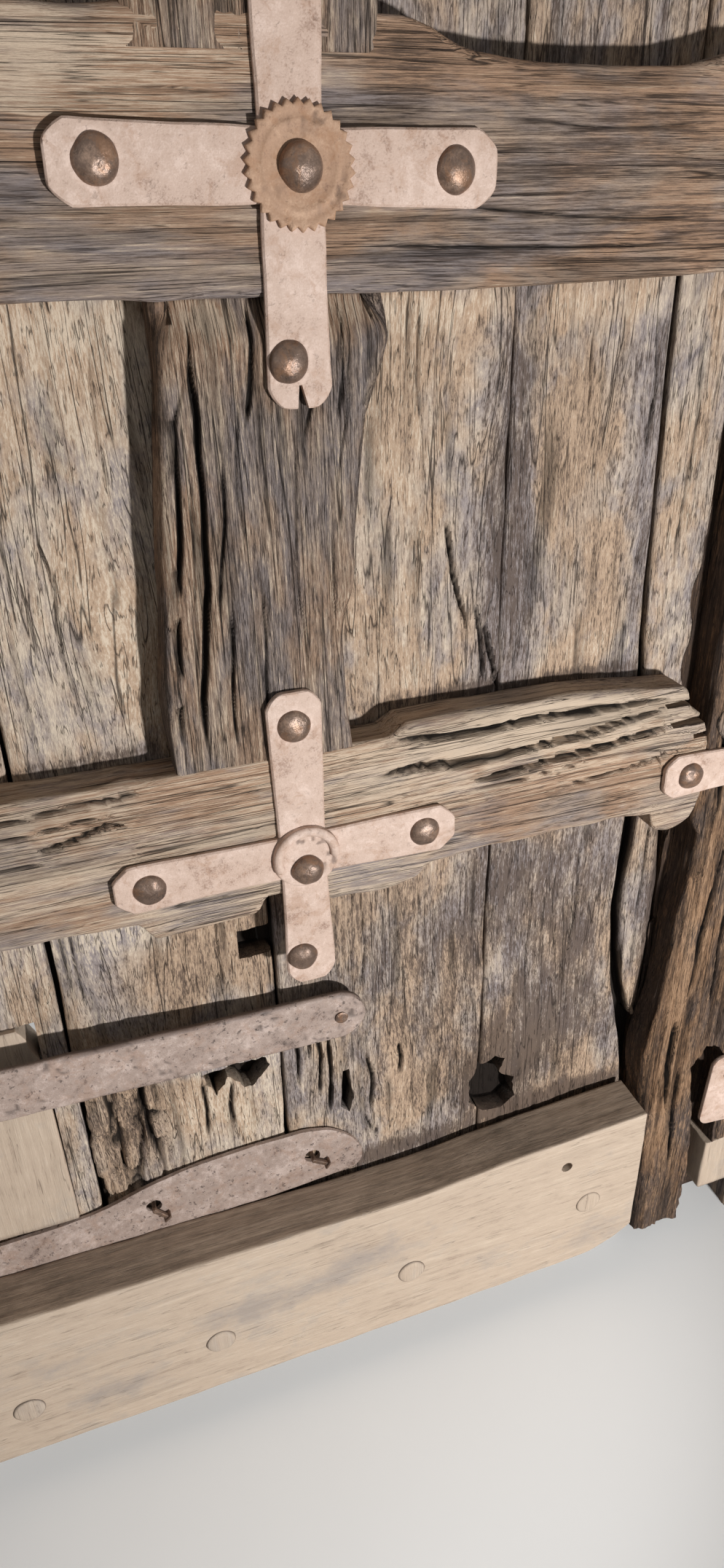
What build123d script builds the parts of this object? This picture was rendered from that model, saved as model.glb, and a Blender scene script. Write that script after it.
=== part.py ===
from build123d import *
from collections import namedtuple
from math import atan2, cos, degrees, radians, sin, sqrt
import os

# A round-headed door of one leaf, hung in its own timber frame. Sizes are in millimetres.
# X runs across the door, Y runs through it and Z is up.
# While the pieces are drawn, y = 0 is the front face of the planks, and the side with the ironwork faces -Y.
# At the end the whole door moves along Y, so that its origin is the middle of its footprint on the floor.

# Leaf: a pegged framing of stiles, rails and muntins with upright planks behind it
LEAF_HALF = 555.0          # half the leaf's width, which is also the radius of its arch
LEAF_FOOT_Z = 18.0         # foot of the stiles above the floor
STILE_W = 150.0            # width of the stiles and of the arched head
FRAMING_T = 40.0           # framing in front of the planks
PLANK_T = 35.0             # planks, and the part of the stiles beside them
PLANK_FOOT_Z = 40.0        # lower ends of the planks
FIRST_JOINT_IN = 179.0     # first and last joint between planks, from the inner edges of the stiles
LAST_JOINT_IN = 64.0
MIDDLE_JOINTS = (-28.0, 198.0)
PLANK_GAP = 3.0            # open joint between two planks
PLANK_LAP = 10.0           # the planks are ship-lapped: a lip reaches this far behind the plank on its left
PLANK_LIP_T = 13.0
PLANK_EDGE_GAP = 2.0       # between the outer planks and the stiles or the arched head

# Rails: height of the middle of the lowest, the rise from each to the next and to the springing of the arch
LOWER_RAIL_Z = 737.5
MIDDLE_RISE = 480.0
UPPER_RISE = 382.5
SPRING_RISE = 90.0
LOWER_RAIL_H = 135.0
MIDDLE_RAIL_H = 151.0
UPPER_RAIL_H = 150.0

# Joints in the timber
TENON_T = 20.0
TENON_L = 60.0
TENON_SHOULDER = 20.0      # how much lower a tenon is than its rail, at each edge
STUB_L = 18.0              # stub tenons on the ends of the muntins
STUB_T = 14.0
STUB_SHOULDER = 22.0
JOINT_GAP = 0.3            # play of a tenon in its mortise, on each side
TENON_PEG_R = 7.0
TENON_PEG_X = 30.0         # pegs from the shoulder line
LOWER_PEG_RISES = (6.0, 36.0)       # pegs from the middle of their rail, clear of the tees
MIDDLE_PEG_RISES = (-40.0, 40.0)
UPPER_PEG_RISES = (-38.0, 38.0)
HEAD_LAP = 90.0            # halved joint between a stile and the arched head
CROWN_LAP = 50.0           # half the length of the halved joint at the crown
HEAD_PEG_R = 8.0
FRAME_PEG_R = 11.0
PEG_GAP = 0.1              # between a peg and its hole
PEG_PROUD = 2.0            # how far a peg stands out of the face

# Muntins that are drawn plain
MIDDLE_MUNTIN_W = 150.0
TOP_MUNTIN_W = 140.0

# Frame
LEAF_GAP = 6.0             # round the edge of the leaf
FRAME_W = 119.0            # frame beside the leaf
STOP_LAP = 25.0            # how far the stop reaches in behind the leaf
STOP_GAP = 3.0             # between the back of the leaf and the stop
STOP_T = 52.0
FRAME_LAP = 110.0          # halved joint between a jamb and the frame's arch
FRAME_CROWN_LAP = 70.0
ANCHOR_R = 7.0             # holes for the bolts that hold the frame in its opening
ANCHOR_LOW_Z = 300.0
ANCHOR_STEP = 600.0
ANCHOR_COUNT = 3

# Bottom board, its plugs and the light patch
BOARD_T = 58.0
BOARD_BACK = 8.0           # the board stands this far off the planks
BOARD_END_GAP = 22.0       # between an end of the board and the stile
BOARD_TOP_Z = 260.0
BOARD_FOOT_Z = 47.0
PLUG_R = 16.5
PLUG_DEPTH = 18.0          # how far a plug goes into the planks
KNOT_HOLE = (282.0, 225.0, 7.0, 20.0)    # small blind hole in the board: place, radius and depth
PATCH_W = 154.0            # light patch, from the stile to its right edge
PATCH_FOOT_Z = 306.0
PATCH_OVER_HINGE = 20.0    # top of the patch over the middle of the hinge strap
PATCH_PROUD = 5.0
PATCH_GAP = 1.0

# Iron crosses and tees
IRON_T = 5.0
ARM_ROOT_W = 40.0
ARM_TIP_W = 46.0
TIP_ROUND = 14.0
NAIL_INSET = 29.0          # nail from the tip of an arm
ROSETTE_T = 5.0
TOOTHED_R = 36.0
TOOTH_DEPTH = 3.0
TEETH = 30
DISH_R = 24.0
DISH_DEPTH = 1.5
PLAIN_ROSETTE_R = 30.0
PLAIN_ROSETTE_T = 3.0
CROSS_ARM = 148.0          # arms of the upper cross
CROSS_UNDER_LOWER_RAIL = 27.5            # centres of the crosses under the middles of their rails
CROSS_UNDER_MIDDLE_RAIL = 4.5
TEE_ARM = 123.0            # arm that ties the rail
TEE_UP = 130.0
TEE_OUT = 62.0

# Nails with domed heads and square shanks
HEAD_R = 14.0
HEAD_H = 8.0
BOSS_HEAD_R = 16.0
BOSS_HEAD_H = 10.0
SHANK = 6.0
SHANK_GAP = 0.1
SHANK_IN = 38.0            # how far a nail goes into the wood

# Strap hinges on upright pins
PIN_R = 8.0
PIN_GAP = 0.06
EYE_R = 14.0
EYE_H = 60.0
EYE_CLEAR = 1.5            # between the back of the eye and the face of the door
STRAP_T = 8.0
STRAP_W = 56.0
LOWER_HINGE_UNDER = 195.5  # lower hinge under the middle of the lower rail
LOWER_STRAP_DROP = 42.0    # how far the lower strap sinks towards its tip
LOWER_STRAP_IN = 23.0      # how far its tip is bent back towards the planks
STRAP_TIP_X = 55.0
LUG_H = 16.0
LUG_CLEAR = 0.4            # between the lug and the eye that turns on it
PINTLE_PLATE_W = 70.0
PINTLE_PLATE_H = 90.0
PINTLE_PLATE_T = 6.0

# Old strap behind the bottom board, and its bent nails
OLD_STRAP_T = 5.0
OLD_STRAP_HOLES = ((-178.0, 294.0, 8.0), (-5.0, 298.0, 9.0))
BENT_SHANK = 4.0
BENT_LENGTH = 20.0
BENT_HEAD = 9.0
BENT_OUT = 8.0             # how far a bent nail stands out of the strap
BENT_ANGLES = (-50.0, -35.0)

# Sliding bolt on the closing stile and its keeper on the jamb
BOLT_UNDER = 4.0           # bolt and upper hinge under the middle of the bay between the rails
BOLT_H = 22.0
BOLT_T = 9.0
BOLT_END = 6.0             # from the end of the drawn bolt to the edge of the leaf
BOLT_PROUD = 2.0           # how far the drawn bolt stands out of its plate
BOLT_TAIL = 17.0           # how far its inner end does
BOLT_TRAVEL = 55.0
BOLT_PLATE_T = 4.0
BOLT_PLATE_H = 76.0
BOLT_PLATE_NAIL_IN = 9.0
BOLT_SLIP = 0.3            # between the bolt and the plate
GUIDE_SLIP = 0.5           # between the bolt and its guides
GUIDE_T = 3.5
GUIDE_W = 14.0
GUIDE_FOOT = 12.0
GUIDE_INSET = 2.0          # guides from the ends of the plate
KNOB_R = 11.0
KNOB_ROOM = 9.5            # between the knob and a guide at each end of its travel
KEEPER_SLIP = 3.0          # between the shot bolt and its keeper
KEEPER_T = 4.0
KEEPER_W = 26.0
KEEPER_IN = 12.0           # keeper from the edge of the jamb
KEEPER_FOOT = 20.0
RIVET_R = 5.0
RIVET_H = 3.0

# Drop ring on the closing stile
RING_UNDER = 212.5         # its eyelet under the middle of the middle rail
RING_R = 42.0              # to the middle of the rod
RING_ROD_R = 5.5
EYELET_ROD_R = 4.0
EYELET_SLIP = 2.0          # room round the ring in the middle of the eyelet
RING_REST = 0.3            # between the hanging ring and the eyelet under it
RING_STAND = 4.5           # between the ring and its rose
ROSE_R = 34.0
ROSE_T = 4.0

# Iron plate and new block at the foot of the closing stile
FOOT_PLATE_W = 68.0
FOOT_PLATE_IN = 5.0        # from the edge of the leaf
FOOT_PLATE_Z = (186.0, 302.0)
FOOT_PLATE_NAIL_IN = 15.0
FOOT_BLOCK_W = 49.0
FOOT_BLOCK_Z = (64.0, 147.0)
FOOT_BLOCK_GAP = 0.3

MIDDLE_RAIL_Z = LOWER_RAIL_Z + MIDDLE_RISE
UPPER_RAIL_Z = MIDDLE_RAIL_Z + UPPER_RISE
SPRING_Z = UPPER_RAIL_Z + SPRING_RISE  # height at which the straight sides turn into the arch
INNER = LEAF_HALF - STILE_W            # inner edge of the stiles
STILE_X = LEAF_HALF - STILE_W / 2      # middle of the stiles, where the tees and the ring are
PLANK_JOINTS = (-INNER + FIRST_JOINT_IN, *MIDDLE_JOINTS, INNER - LAST_JOINT_IN)
PLANK_LIP_Y = PLANK_T - PLANK_LIP_T
BOARD_HALF = INNER - BOARD_END_GAP
PATCH_EDGE = -INNER + PATCH_W
LOWER_HINGE_Z = LOWER_RAIL_Z - LOWER_HINGE_UNDER
PATCH_TOP_Z = LOWER_HINGE_Z + PATCH_OVER_HINGE
BOLT_Z = (MIDDLE_RAIL_Z + MIDDLE_RAIL_H / 2 + UPPER_RAIL_Z - UPPER_RAIL_H / 2) / 2 - BOLT_UNDER
UPPER_HINGE_Z = BOLT_Z
RING_X = STILE_X
RING_Z = MIDDLE_RAIL_Z - RING_UNDER
FOOT_PLATE = (LEAF_HALF - FOOT_PLATE_IN - FOOT_PLATE_W, LEAF_HALF - FOOT_PLATE_IN, *FOOT_PLATE_Z)
FOOT_BLOCK = (LEAF_HALF - FOOT_BLOCK_W, LEAF_HALF, *FOOT_BLOCK_Z)
FRAME_IN = LEAF_HALF + LEAF_GAP
FRAME_OUT = FRAME_IN + FRAME_W
STOP_IN = FRAME_IN - STOP_LAP
FRONT = -FRAMING_T                     # face that carries the ironwork
STOP_Y = PLANK_T + STOP_GAP
BACK = STOP_Y + STOP_T
BEYOND = 4000.0                        # past the edges of the whole door
BOLT_PLATE_W = 2 * (GUIDE_INSET + GUIDE_W + KNOB_ROOM + KNOB_R) + BOLT_TRAVEL
BOLT_PLATE_LEFT = LEAF_HALF - BOLT_END - BOLT_PROUD - BOLT_PLATE_W

Nail = namedtuple("Nail", "x z seat head_r head_h tip")


def upright(profile, y_front, y_back):
    """Stand a sketch drawn in x and z upright and give it a thickness."""
    plane = Plane(origin=(0, y_back, 0), x_dir=(1, 0, 0), z_dir=(0, -1, 0))
    return extrude(plane * profile, amount=y_back - y_front)


def outline(*curves):
    """Face inside curves that follow each other round."""
    return make_face([edge for curve in curves for edge in curve.edges()])


def polygon(*points):
    return outline(Polyline(*points, close=True))


def zone(x0=-BEYOND, x1=BEYOND, z0=-BEYOND, z1=BEYOND, y0=-BEYOND, y1=BEYOND):
    """Block of space between these limits."""
    return Pos((x0 + x1) / 2, (y0 + y1) / 2, (z0 + z1) / 2) * Box(x1 - x0, y1 - y0, z1 - z0)


def rod(x, z, radius, y0, y1):
    """Round rod or hole that runs through the door from y0 to y1."""
    return upright(Pos(x, z) * Circle(radius), y0, y1)


def portal(half, foot_z):
    """Round-headed shape from a foot height up to an arch of radius half."""
    sides = Pos(0, (foot_z + SPRING_Z) / 2) * Rectangle(2 * half, SPRING_Z - foot_z)
    return sides + Pos(0, SPRING_Z) * Circle(half)


def arch_band(inner, outer, foot_z, y_front, y_back):
    """Band of timber between two round-headed shapes."""
    return upright(portal(outer, foot_z), y_front, y_back) - upright(portal(inner, foot_z), y_front, y_back)


def on_arch(radius, rise):
    """Distance from the middle of the door at which an arch stands this far above its springing."""
    return sqrt(radius**2 - rise**2)


def nail(n):
    """Nail with a domed head on its seat and a square shank into the wood."""
    bulge = (n.head_r**2 + n.head_h**2) / (2 * n.head_h)
    crown = Pos(0, 0, n.head_h - bulge) * Sphere(bulge)
    head = crown & Pos(0, 0, n.head_h / 2) * Box(3 * n.head_r, 3 * n.head_r, n.head_h)
    stand = Plane(origin=(n.x, n.seat, n.z), x_dir=(1, 0, 0), z_dir=(0, -1, 0))
    shank = zone(n.x - SHANK / 2, n.x + SHANK / 2, n.z - SHANK / 2, n.z + SHANK / 2, n.seat, n.tip)
    return stand * head + shank


def nailed(piece, nails):
    """Cut the square holes of the nails that go through or into a piece."""
    box = piece.bounding_box()
    half = SHANK / 2 + SHANK_GAP
    for n in nails:
        across = box.min.X < n.x < box.max.X and box.min.Z < n.z < box.max.Z
        if across and n.seat - 1 < box.max.Y and box.min.Y < n.tip:
            piece -= zone(n.x - half, n.x + half, n.z - half, n.z + half, n.seat - 1, n.tip + 1)
    return piece


def pegged(piece, pegs):
    """Cut the round holes of the pegs that go through a piece."""
    box = piece.bounding_box()
    for x, z, radius, y0, y1 in pegs:
        if box.min.X < x < box.max.X and box.min.Z < z < box.max.Z and y0 < box.max.Y and box.min.Y < y1:
            piece -= rod(x, z, radius + PEG_GAP, y0, y1)
    return piece


def peg_solids(pegs):
    return [rod(*peg) for peg in pegs]


# Frame

def frame_layer(front):
    """The frame is two layers deep, and the back one reaches in behind the leaf as its stop."""
    if front:
        return arch_band(FRAME_IN, FRAME_OUT, 0, FRONT, STOP_Y)
    return arch_band(STOP_IN, FRAME_OUT, 0, STOP_Y, BACK)


def frame_pegs():
    """Two pegs through each halved joint of the frame."""
    middle = (FRAME_IN + FRAME_OUT) / 2
    places = [(side * on_arch(middle, rise), SPRING_Z + rise)
              for side in (-1, 1) for rise in (FRAME_LAP * 0.28, FRAME_LAP * 0.75)]
    places += [(x, SPRING_Z + on_arch(middle, x)) for x in (-FRAME_CROWN_LAP / 2, FRAME_CROWN_LAP / 2)]
    return [(x, z, FRAME_PEG_R, FRONT - PEG_PROUD, BACK) for x, z in places]


def anchor_holes():
    """Holes across both jambs, through the stop."""
    y = (STOP_Y + BACK) / 2
    turn = Rot(0, 90, 0)
    heights = [ANCHOR_LOW_Z + i * ANCHOR_STEP for i in range(ANCHOR_COUNT)]
    return [Pos(0, y, z) * turn * Cylinder(ANCHOR_R, 3 * FRAME_OUT) for z in heights]


def jamb(side):
    limits = dict(x1=0) if side < 0 else dict(x0=0)
    front = frame_layer(True) & zone(z1=SPRING_Z, **limits)
    back = frame_layer(False) & zone(z1=SPRING_Z + FRAME_LAP, **limits)
    piece = front + back
    for hole in anchor_holes():
        piece -= hole
    return pegged(piece, frame_pegs())


def frame_arch(side):
    """Half of the frame's arch. The left half is in front at the crown, the right half behind."""
    front_end, back_end = FRAME_CROWN_LAP, -FRAME_CROWN_LAP
    if side < 0:
        front = frame_layer(True) & zone(x1=front_end, z0=SPRING_Z)
        back = frame_layer(False) & zone(x1=back_end, z0=SPRING_Z + FRAME_LAP)
    else:
        front = frame_layer(True) & zone(x0=front_end, z0=SPRING_Z)
        back = frame_layer(False) & zone(x0=back_end, z0=SPRING_Z + FRAME_LAP)
    return pegged(front + back, frame_pegs())


# Framing of the leaf

RAILS = {
    "lower": (LOWER_RAIL_Z, LOWER_RAIL_H, LOWER_PEG_RISES),
    "middle": (MIDDLE_RAIL_Z, MIDDLE_RAIL_H, MIDDLE_PEG_RISES),
    "upper": (UPPER_RAIL_Z, UPPER_RAIL_H, UPPER_PEG_RISES),
}


def rail_top(name):
    middle, height, _ = RAILS[name]
    return middle + height / 2


def rail_foot(name):
    middle, height, _ = RAILS[name]
    return middle - height / 2


def tenon(name, side, gap=0.0):
    """Tenon at one end of a rail, or its mortise when a gap is given."""
    middle, height, _ = RAILS[name]
    half = height / 2 - TENON_SHOULDER + gap
    y0 = FRONT + (FRAMING_T - TENON_T) / 2 - gap
    y1 = y0 + TENON_T + 2 * gap
    reach = INNER + TENON_L + (1.0 if gap else 0.0)
    x0, x1 = sorted((side * INNER, side * reach))
    return zone(x0, x1, middle - half, middle + half, y0, y1)


def tenon_pegs():
    places = [(side * (INNER + TENON_PEG_X), middle + rise)
              for middle, _, rises in RAILS.values() for side in (-1, 1) for rise in rises]
    return [(x, z, TENON_PEG_R, FRONT - PEG_PROUD, PLANK_T) for x, z in places]


def head_pegs():
    middle = (INNER + LEAF_HALF) / 2
    places = [(side * on_arch(middle, rise), SPRING_Z + rise)
              for side in (-1, 1) for rise in (HEAD_LAP * 0.6, HEAD_LAP * 0.85)]
    places += [(x, SPRING_Z + on_arch(middle, x)) for x in (-CROWN_LAP / 2, CROWN_LAP / 2)]
    return [(x, z, HEAD_PEG_R, FRONT - PEG_PROUD, PLANK_T) for x, z in places]


def leaf_layer(front):
    """The stiles and the arched head: one layer in front of the planks, one beside them."""
    if front:
        return arch_band(INNER, LEAF_HALF, LEAF_FOOT_Z, FRONT, 0)
    return arch_band(INNER, LEAF_HALF, LEAF_FOOT_Z, 0, PLANK_T)


def lower_rail_outline():
    """Weathered rail: facets shaved off below the cross, a broken right end and a rounded lobe under it."""
    top, foot = rail_top("lower"), rail_foot("lower")
    return outline(
        Spline((-INNER, top - 5), (-250, top + 1), (-115, top)),
        Polyline((-115, top), (75, top), (95, top + 9)),
        Spline((95, top + 9), (220, top + 10), (INNER - 75, top + 2), (INNER - 31, top - 3)),
        Polyline((INNER - 31, top - 3), (INNER - 26, top - 24), (INNER - 8, top - 34), (INNER - 14, top - 55),
                 (INNER, top - 62), (INNER, foot + 8)),
        Spline((INNER, foot + 8), (INNER - 9, foot - 13), (INNER - 32, foot - 22), (INNER - 49, foot - 18)),
        Polyline((INNER - 49, foot - 18), (INNER - 54, foot + 1)),
        Spline((INNER - 54, foot + 1), (INNER - 165, foot + 4), (120, foot)),
        Polyline((120, foot), (98, foot - 15), (22, foot - 18), (10, foot - 2), (-36, foot - 2),
                 (-47, foot - 16), (-134, foot - 18), (-150, foot + 1)),
        Spline((-150, foot + 1), (-280, foot + 5), (-INNER, foot + 2)),
        Line((-INNER, foot + 2), (-INNER, top - 5)),
    )


def middle_rail_outline():
    """Rail with a hollow worn into the right half of its upper edge."""
    top, foot = rail_top("middle"), rail_foot("middle")
    return outline(
        Spline((-INNER, top - 4), (-240, top + 1), (-95, top)),
        Line((-95, top), (90, top)),
        Spline((90, top), (145, top - 18), (INNER - 190, top - 24), (INNER - 120, top - 24),
               (INNER - 60, top - 14), (INNER, top - 8)),
        Line((INNER, top - 8), (INNER, foot + 5)),
        Spline((INNER, foot + 5), (250, foot - 1), (100, foot)),
        Line((100, foot), (-95, foot)),
        Spline((-95, foot), (-250, foot + 2), (-INNER, foot + 1)),
        Line((-INNER, foot + 1), (-INNER, top - 4)),
    )


def upper_rail_outline():
    top, foot = rail_top("upper"), rail_foot("upper")
    return polygon((-INNER, foot), (INNER, foot), (INNER, top), (-INNER, top))


def rail(name, profile, muntins_at):
    """Rail with a tenon at each end and mortises for the muntins that stand on it or hang from it."""
    piece = upright(profile, FRONT, 0) + tenon(name, -1) + tenon(name, 1)
    for x0, x1, z in muntins_at:
        piece -= stub(x0, x1, z - STUB_L - 1, z + STUB_L + 1, JOINT_GAP)
    return pegged(piece, tenon_pegs())


def stub(x0, x1, z0, z1, gap=0.0):
    """Stub tenon of a muntin, or its mortise when a gap is given."""
    y0 = FRONT + (FRAMING_T - STUB_T) / 2 - gap
    return zone(x0 + STUB_SHOULDER - gap, x1 - STUB_SHOULDER + gap, z0, z1, y0, y0 + STUB_T + 2 * gap)


# Left and right edges of the muntin between the lower and the middle rail, from its foot to its top
LOWER_MUNTIN_LEFT = ((-102, 0.0), (-103, 0.15), (-97, 0.36), (-93, 0.51), (-86, 0.72), (-81, 0.88), (-82, 1.0))
LOWER_MUNTIN_RIGHT = ((80, 1.0), (84, 0.93), (78, 0.86), (65, 0.75), (57, 0.56), (52, 0.42), (43, 0.24),
                      (46, 0.0))


def lower_muntin_outline():
    foot, top = rail_top("lower"), rail_foot("middle")

    def at(points):
        return [(x, foot + share * (top - foot)) for x, share in points]

    left, right = at(LOWER_MUNTIN_LEFT), at(LOWER_MUNTIN_RIGHT)
    return outline(Spline(*left), Line(left[-1], right[0]), Spline(*right), Line(right[-1], left[0]))


def middle_muntin_outline():
    half, foot, top = MIDDLE_MUNTIN_W / 2, rail_top("middle"), rail_foot("upper")
    middle = (foot + top) / 2
    return outline(
        Spline((-half - 4, foot), (-half + 3, middle), (-half - 2, top)),
        Line((-half - 2, top), (half, top)),
        Spline((half, top), (half - 6, middle), (half + 2, foot)),
        Line((half + 2, foot), (-half - 4, foot)),
    )


def top_muntin():
    """Muntin from the upper rail to the crown, scribed to the arched head."""
    half, foot = TOP_MUNTIN_W / 2, rail_top("upper")
    body = zone(-half, half, foot, SPRING_Z + LEAF_HALF, FRONT, 0)
    return body & upright(portal(INNER - JOINT_GAP, LEAF_FOOT_Z), FRONT, 0)


def muntin_seats():
    """Where each muntin meets a rail: its two edges and the height of the joint."""
    lower, middle, top = rail_top("lower"), rail_foot("middle"), rail_top("middle")
    half, thin = MIDDLE_MUNTIN_W / 2, TOP_MUNTIN_W / 2
    return {
        "lower_foot": (LOWER_MUNTIN_LEFT[0][0], LOWER_MUNTIN_RIGHT[-1][0], lower),
        "lower_top": (LOWER_MUNTIN_LEFT[-1][0], LOWER_MUNTIN_RIGHT[0][0], middle),
        "middle_foot": (-half - 4, half + 2, top),
        "middle_top": (-half - 2, half, rail_foot("upper")),
        "top_foot": (-thin, thin, rail_top("upper")),
    }


def with_stubs(piece, foot_seat=None, top_seat=None):
    if foot_seat:
        x0, x1, z = foot_seat
        piece += stub(x0, x1, z - STUB_L, z)
    if top_seat:
        x0, x1, z = top_seat
        piece += stub(x0, x1, z, z + STUB_L)
    return piece


def stile_left():
    front = leaf_layer(True) & zone(x1=0, z1=SPRING_Z)
    back = leaf_layer(False) & zone(x1=0, z1=SPRING_Z + HEAD_LAP)
    piece = front + back
    for name in RAILS:
        piece -= tenon(name, -1, JOINT_GAP)
    return pegged(pegged(piece, tenon_pegs()), head_pegs())


def stile_right_face():
    """Front of the closing stile: eaten away at its foot, with a rotten hollow beside the iron plate."""
    edge, foot, notch_z = LEAF_HALF, LEAF_FOOT_Z, FOOT_BLOCK[3] + FOOT_BLOCK_GAP
    shoulder = rail_foot("lower") - 24
    return outline(
        Polyline((INNER, SPRING_Z), (INNER, shoulder), (INNER + 9, shoulder - 12)),
        Spline((INNER + 9, shoulder - 12), (INNER + 2, 525), (INNER - 2, 475), (INNER - 9, 395),
               (INNER - 17, 325), (INNER - 10, 275)),
        Spline((INNER - 10, 275), (INNER + 4, 190), (INNER + 10, 90), (INNER + 11, foot + 4)),
        Polyline((INNER + 11, foot + 4), (INNER + 30, foot), (INNER + 71, foot + 10), (INNER + 74, 120),
                 (INNER + 68, 210), (INNER + 55, 292), (INNER + 74, 322), (INNER + 92, 314),
                 (INNER + 104, 296), (INNER + 110, 250), (INNER + 107, notch_z), (edge, notch_z),
                 (edge, SPRING_Z), (INNER, SPRING_Z)),
    )


def stile_right():
    front = upright(stile_right_face(), FRONT, 0)
    back = leaf_layer(False) & zone(x0=0, z1=SPRING_Z + HEAD_LAP)
    piece = front + back
    for name in RAILS:
        piece -= tenon(name, 1, JOINT_GAP)
    return pegged(pegged(piece, tenon_pegs()), head_pegs())


def leaf_head(side):
    """Half of the leaf's arched head. The left half is in front at the crown, the right half behind."""
    if side < 0:
        front = leaf_layer(True) & zone(x1=CROWN_LAP, z0=SPRING_Z)
        back = leaf_layer(False) & zone(x1=-CROWN_LAP, z0=SPRING_Z + HEAD_LAP)
    else:
        front = leaf_layer(True) & zone(x0=CROWN_LAP, z0=SPRING_Z)
        back = leaf_layer(False) & zone(x0=-CROWN_LAP, z0=SPRING_Z + HEAD_LAP)
    return pegged(front + back, head_pegs())


# Planks

FIELD = INNER - PLANK_EDGE_GAP
SQUARE_HOLE = (-61.0, -20.0, 581.0, 613.0)
RAGGED_HOLE = ((-112, 447), (-97, 415), (-84, 438), (-69, 419), (-60, 417), (-42, 440), (-44, 453), (-76, 452))
ROT_HOLE = ((186, 300), (184, 330), (197, 352), (216, 362), (228, 354), (222, 336), (240, 320), (243, 290),
            (226, 277), (203, 281))
SLOT = ((32, 352), (36, 402), (43, 403), (47, 360), (42, 341))

# Worn edges of the last two planks: distance in from the straight edge, and height
PLANK_D_EDGE = ((51, 250), (46, 308), (30, 382), (17, 456), (11, 541), (14, 631), (9, 740), (3, 900), (0, 1142))
PLANK_E_LEFT = ((0, 1142), (4, 900), (17, 740), (24, 625), (18, 541), (22, 488), (30, 435), (44, 377), (50, 366))
PLANK_E_RIGHT = ((3, 400), (1, 541), (7, 625), (0, 700))


def joint(i, side, lap=0.0):
    """Edge of the plank on one side of joint i."""
    return PLANK_JOINTS[i] - lap + side * PLANK_GAP / 2


def board(x0, x1):
    foot, top = PLANK_FOOT_Z, SPRING_Z + LEAF_HALF
    return polygon((x0, foot), (x1, foot), (x1, top), (x0, top))


def patch_cut_out():
    """Opening in the first plank that the light patch fills."""
    top, beyond = PATCH_TOP_Z + PATCH_GAP, -FIELD - 10
    return polygon((beyond, PATCH_FOOT_Z), (PATCH_EDGE, PATCH_FOOT_Z), (PATCH_EDGE, top), (beyond, top))


def plank_backs():
    """Outlines of the planks behind their laps, where nothing has rotted."""
    edges = [-FIELD]
    for i in range(len(PLANK_JOINTS)):
        edges += [joint(i, -1, PLANK_LAP), joint(i, 1, PLANK_LAP)]
    edges.append(FIELD)
    boards = [board(x0, x1) for x0, x1 in zip(edges[::2], edges[1::2])]
    boards[0] -= patch_cut_out()
    return dict(zip("abcde", boards))


def plank_fronts():
    """Outlines of the five planks in front, from the hanging side to the closing side, with rot and wear."""
    foot, top = PLANK_FOOT_Z, SPRING_Z + LEAF_HALF
    right = joint(3, -1)
    a = board(-FIELD, joint(0, -1)) - patch_cut_out()
    b = board(joint(0, 1), joint(1, -1)) - polygon(*RAGGED_HOLE)
    x0, x1, z0, z1 = SQUARE_HOLE
    b -= polygon((x0, z0), (x1, z0), (x1, z1), (x0, z1))
    c = board(joint(1, 1), joint(2, -1)) - polygon(*SLOT) - polygon(*ROT_HOLE)
    worn = [(right + dx, z) for dx, z in PLANK_D_EDGE]
    d = outline(
        Polyline((right, top), (joint(2, 1), top), (joint(2, 1), foot), (worn[0][0] - 3, foot), worn[0]),
        Spline(*worn),
        Line(worn[-1], (right, top)),
    ) - polygon(*ROT_HOLE)
    left = joint(3, 1)
    inside = [(left + dx, z) for dx, z in PLANK_E_LEFT]
    outside = [(FIELD - dx, z) for dx, z in PLANK_E_RIGHT]
    e = outline(
        Line((left, top), inside[0]),
        Spline(*inside),
        Spline(inside[-1], *outside),
        Polyline(outside[-1], (FIELD, top), (left, top)),
    )
    return dict(a=a, b=b, c=c, d=d, e=e)


def planks():
    field = upright(portal(FIELD, 0), 0, PLANK_T)
    backs = plank_backs()
    found = {}
    for letter, face in plank_fronts().items():
        solid = upright(face, 0, PLANK_LIP_Y) + upright(backs[letter], PLANK_LIP_Y, PLANK_T)
        found["plank_" + letter] = pegged(solid & field, plug_places())
    return found


def patch():
    """New board let into the first plank, with a step in its right edge above the hinge strap."""
    x0, x1, z0, z1 = -FIELD, PATCH_EDGE - PATCH_GAP, PATCH_FOOT_Z, PATCH_TOP_Z
    step_z = LOWER_HINGE_Z - 16
    face = outline(
        Polyline((x0, z1), (x0, z0), (x1, z0), (x1 - 2, step_z), (x1 - 8, step_z + 4), (x1 - 9, z1 - 9)),
        Spline((x1 - 9, z1 - 9), (x1 - 12, z1 - 3), (x1 - 19, z1)),
        Line((x1 - 19, z1), (x0, z1)),
    )
    return upright(face, -PATCH_PROUD, PLANK_T)


# Bottom board

PLUGS = ((-BOARD_HALF + 46, 120.0), (-135.0, 125.0), (88.0, 133.0), (BOARD_HALF - 66, 150.0))
BOARD_FRONT = -BOARD_BACK - BOARD_T

# Rises of the board's upper edge over its left end, and of its chamfered lower right corner over its foot
BOARD_TOP = ((-123.0, -3.0), (84.0, -6.0), (215.0, 4.0))
BOARD_END_RISE = 12.0
BOARD_CORNER = ((-1.0, 31.0), (26.0, 13.0), (60.0, 3.0))


def plug_places():
    return [(x, z, PLUG_R, BOARD_FRONT - 1.0, PLUG_DEPTH) for x, z in PLUGS]


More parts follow.
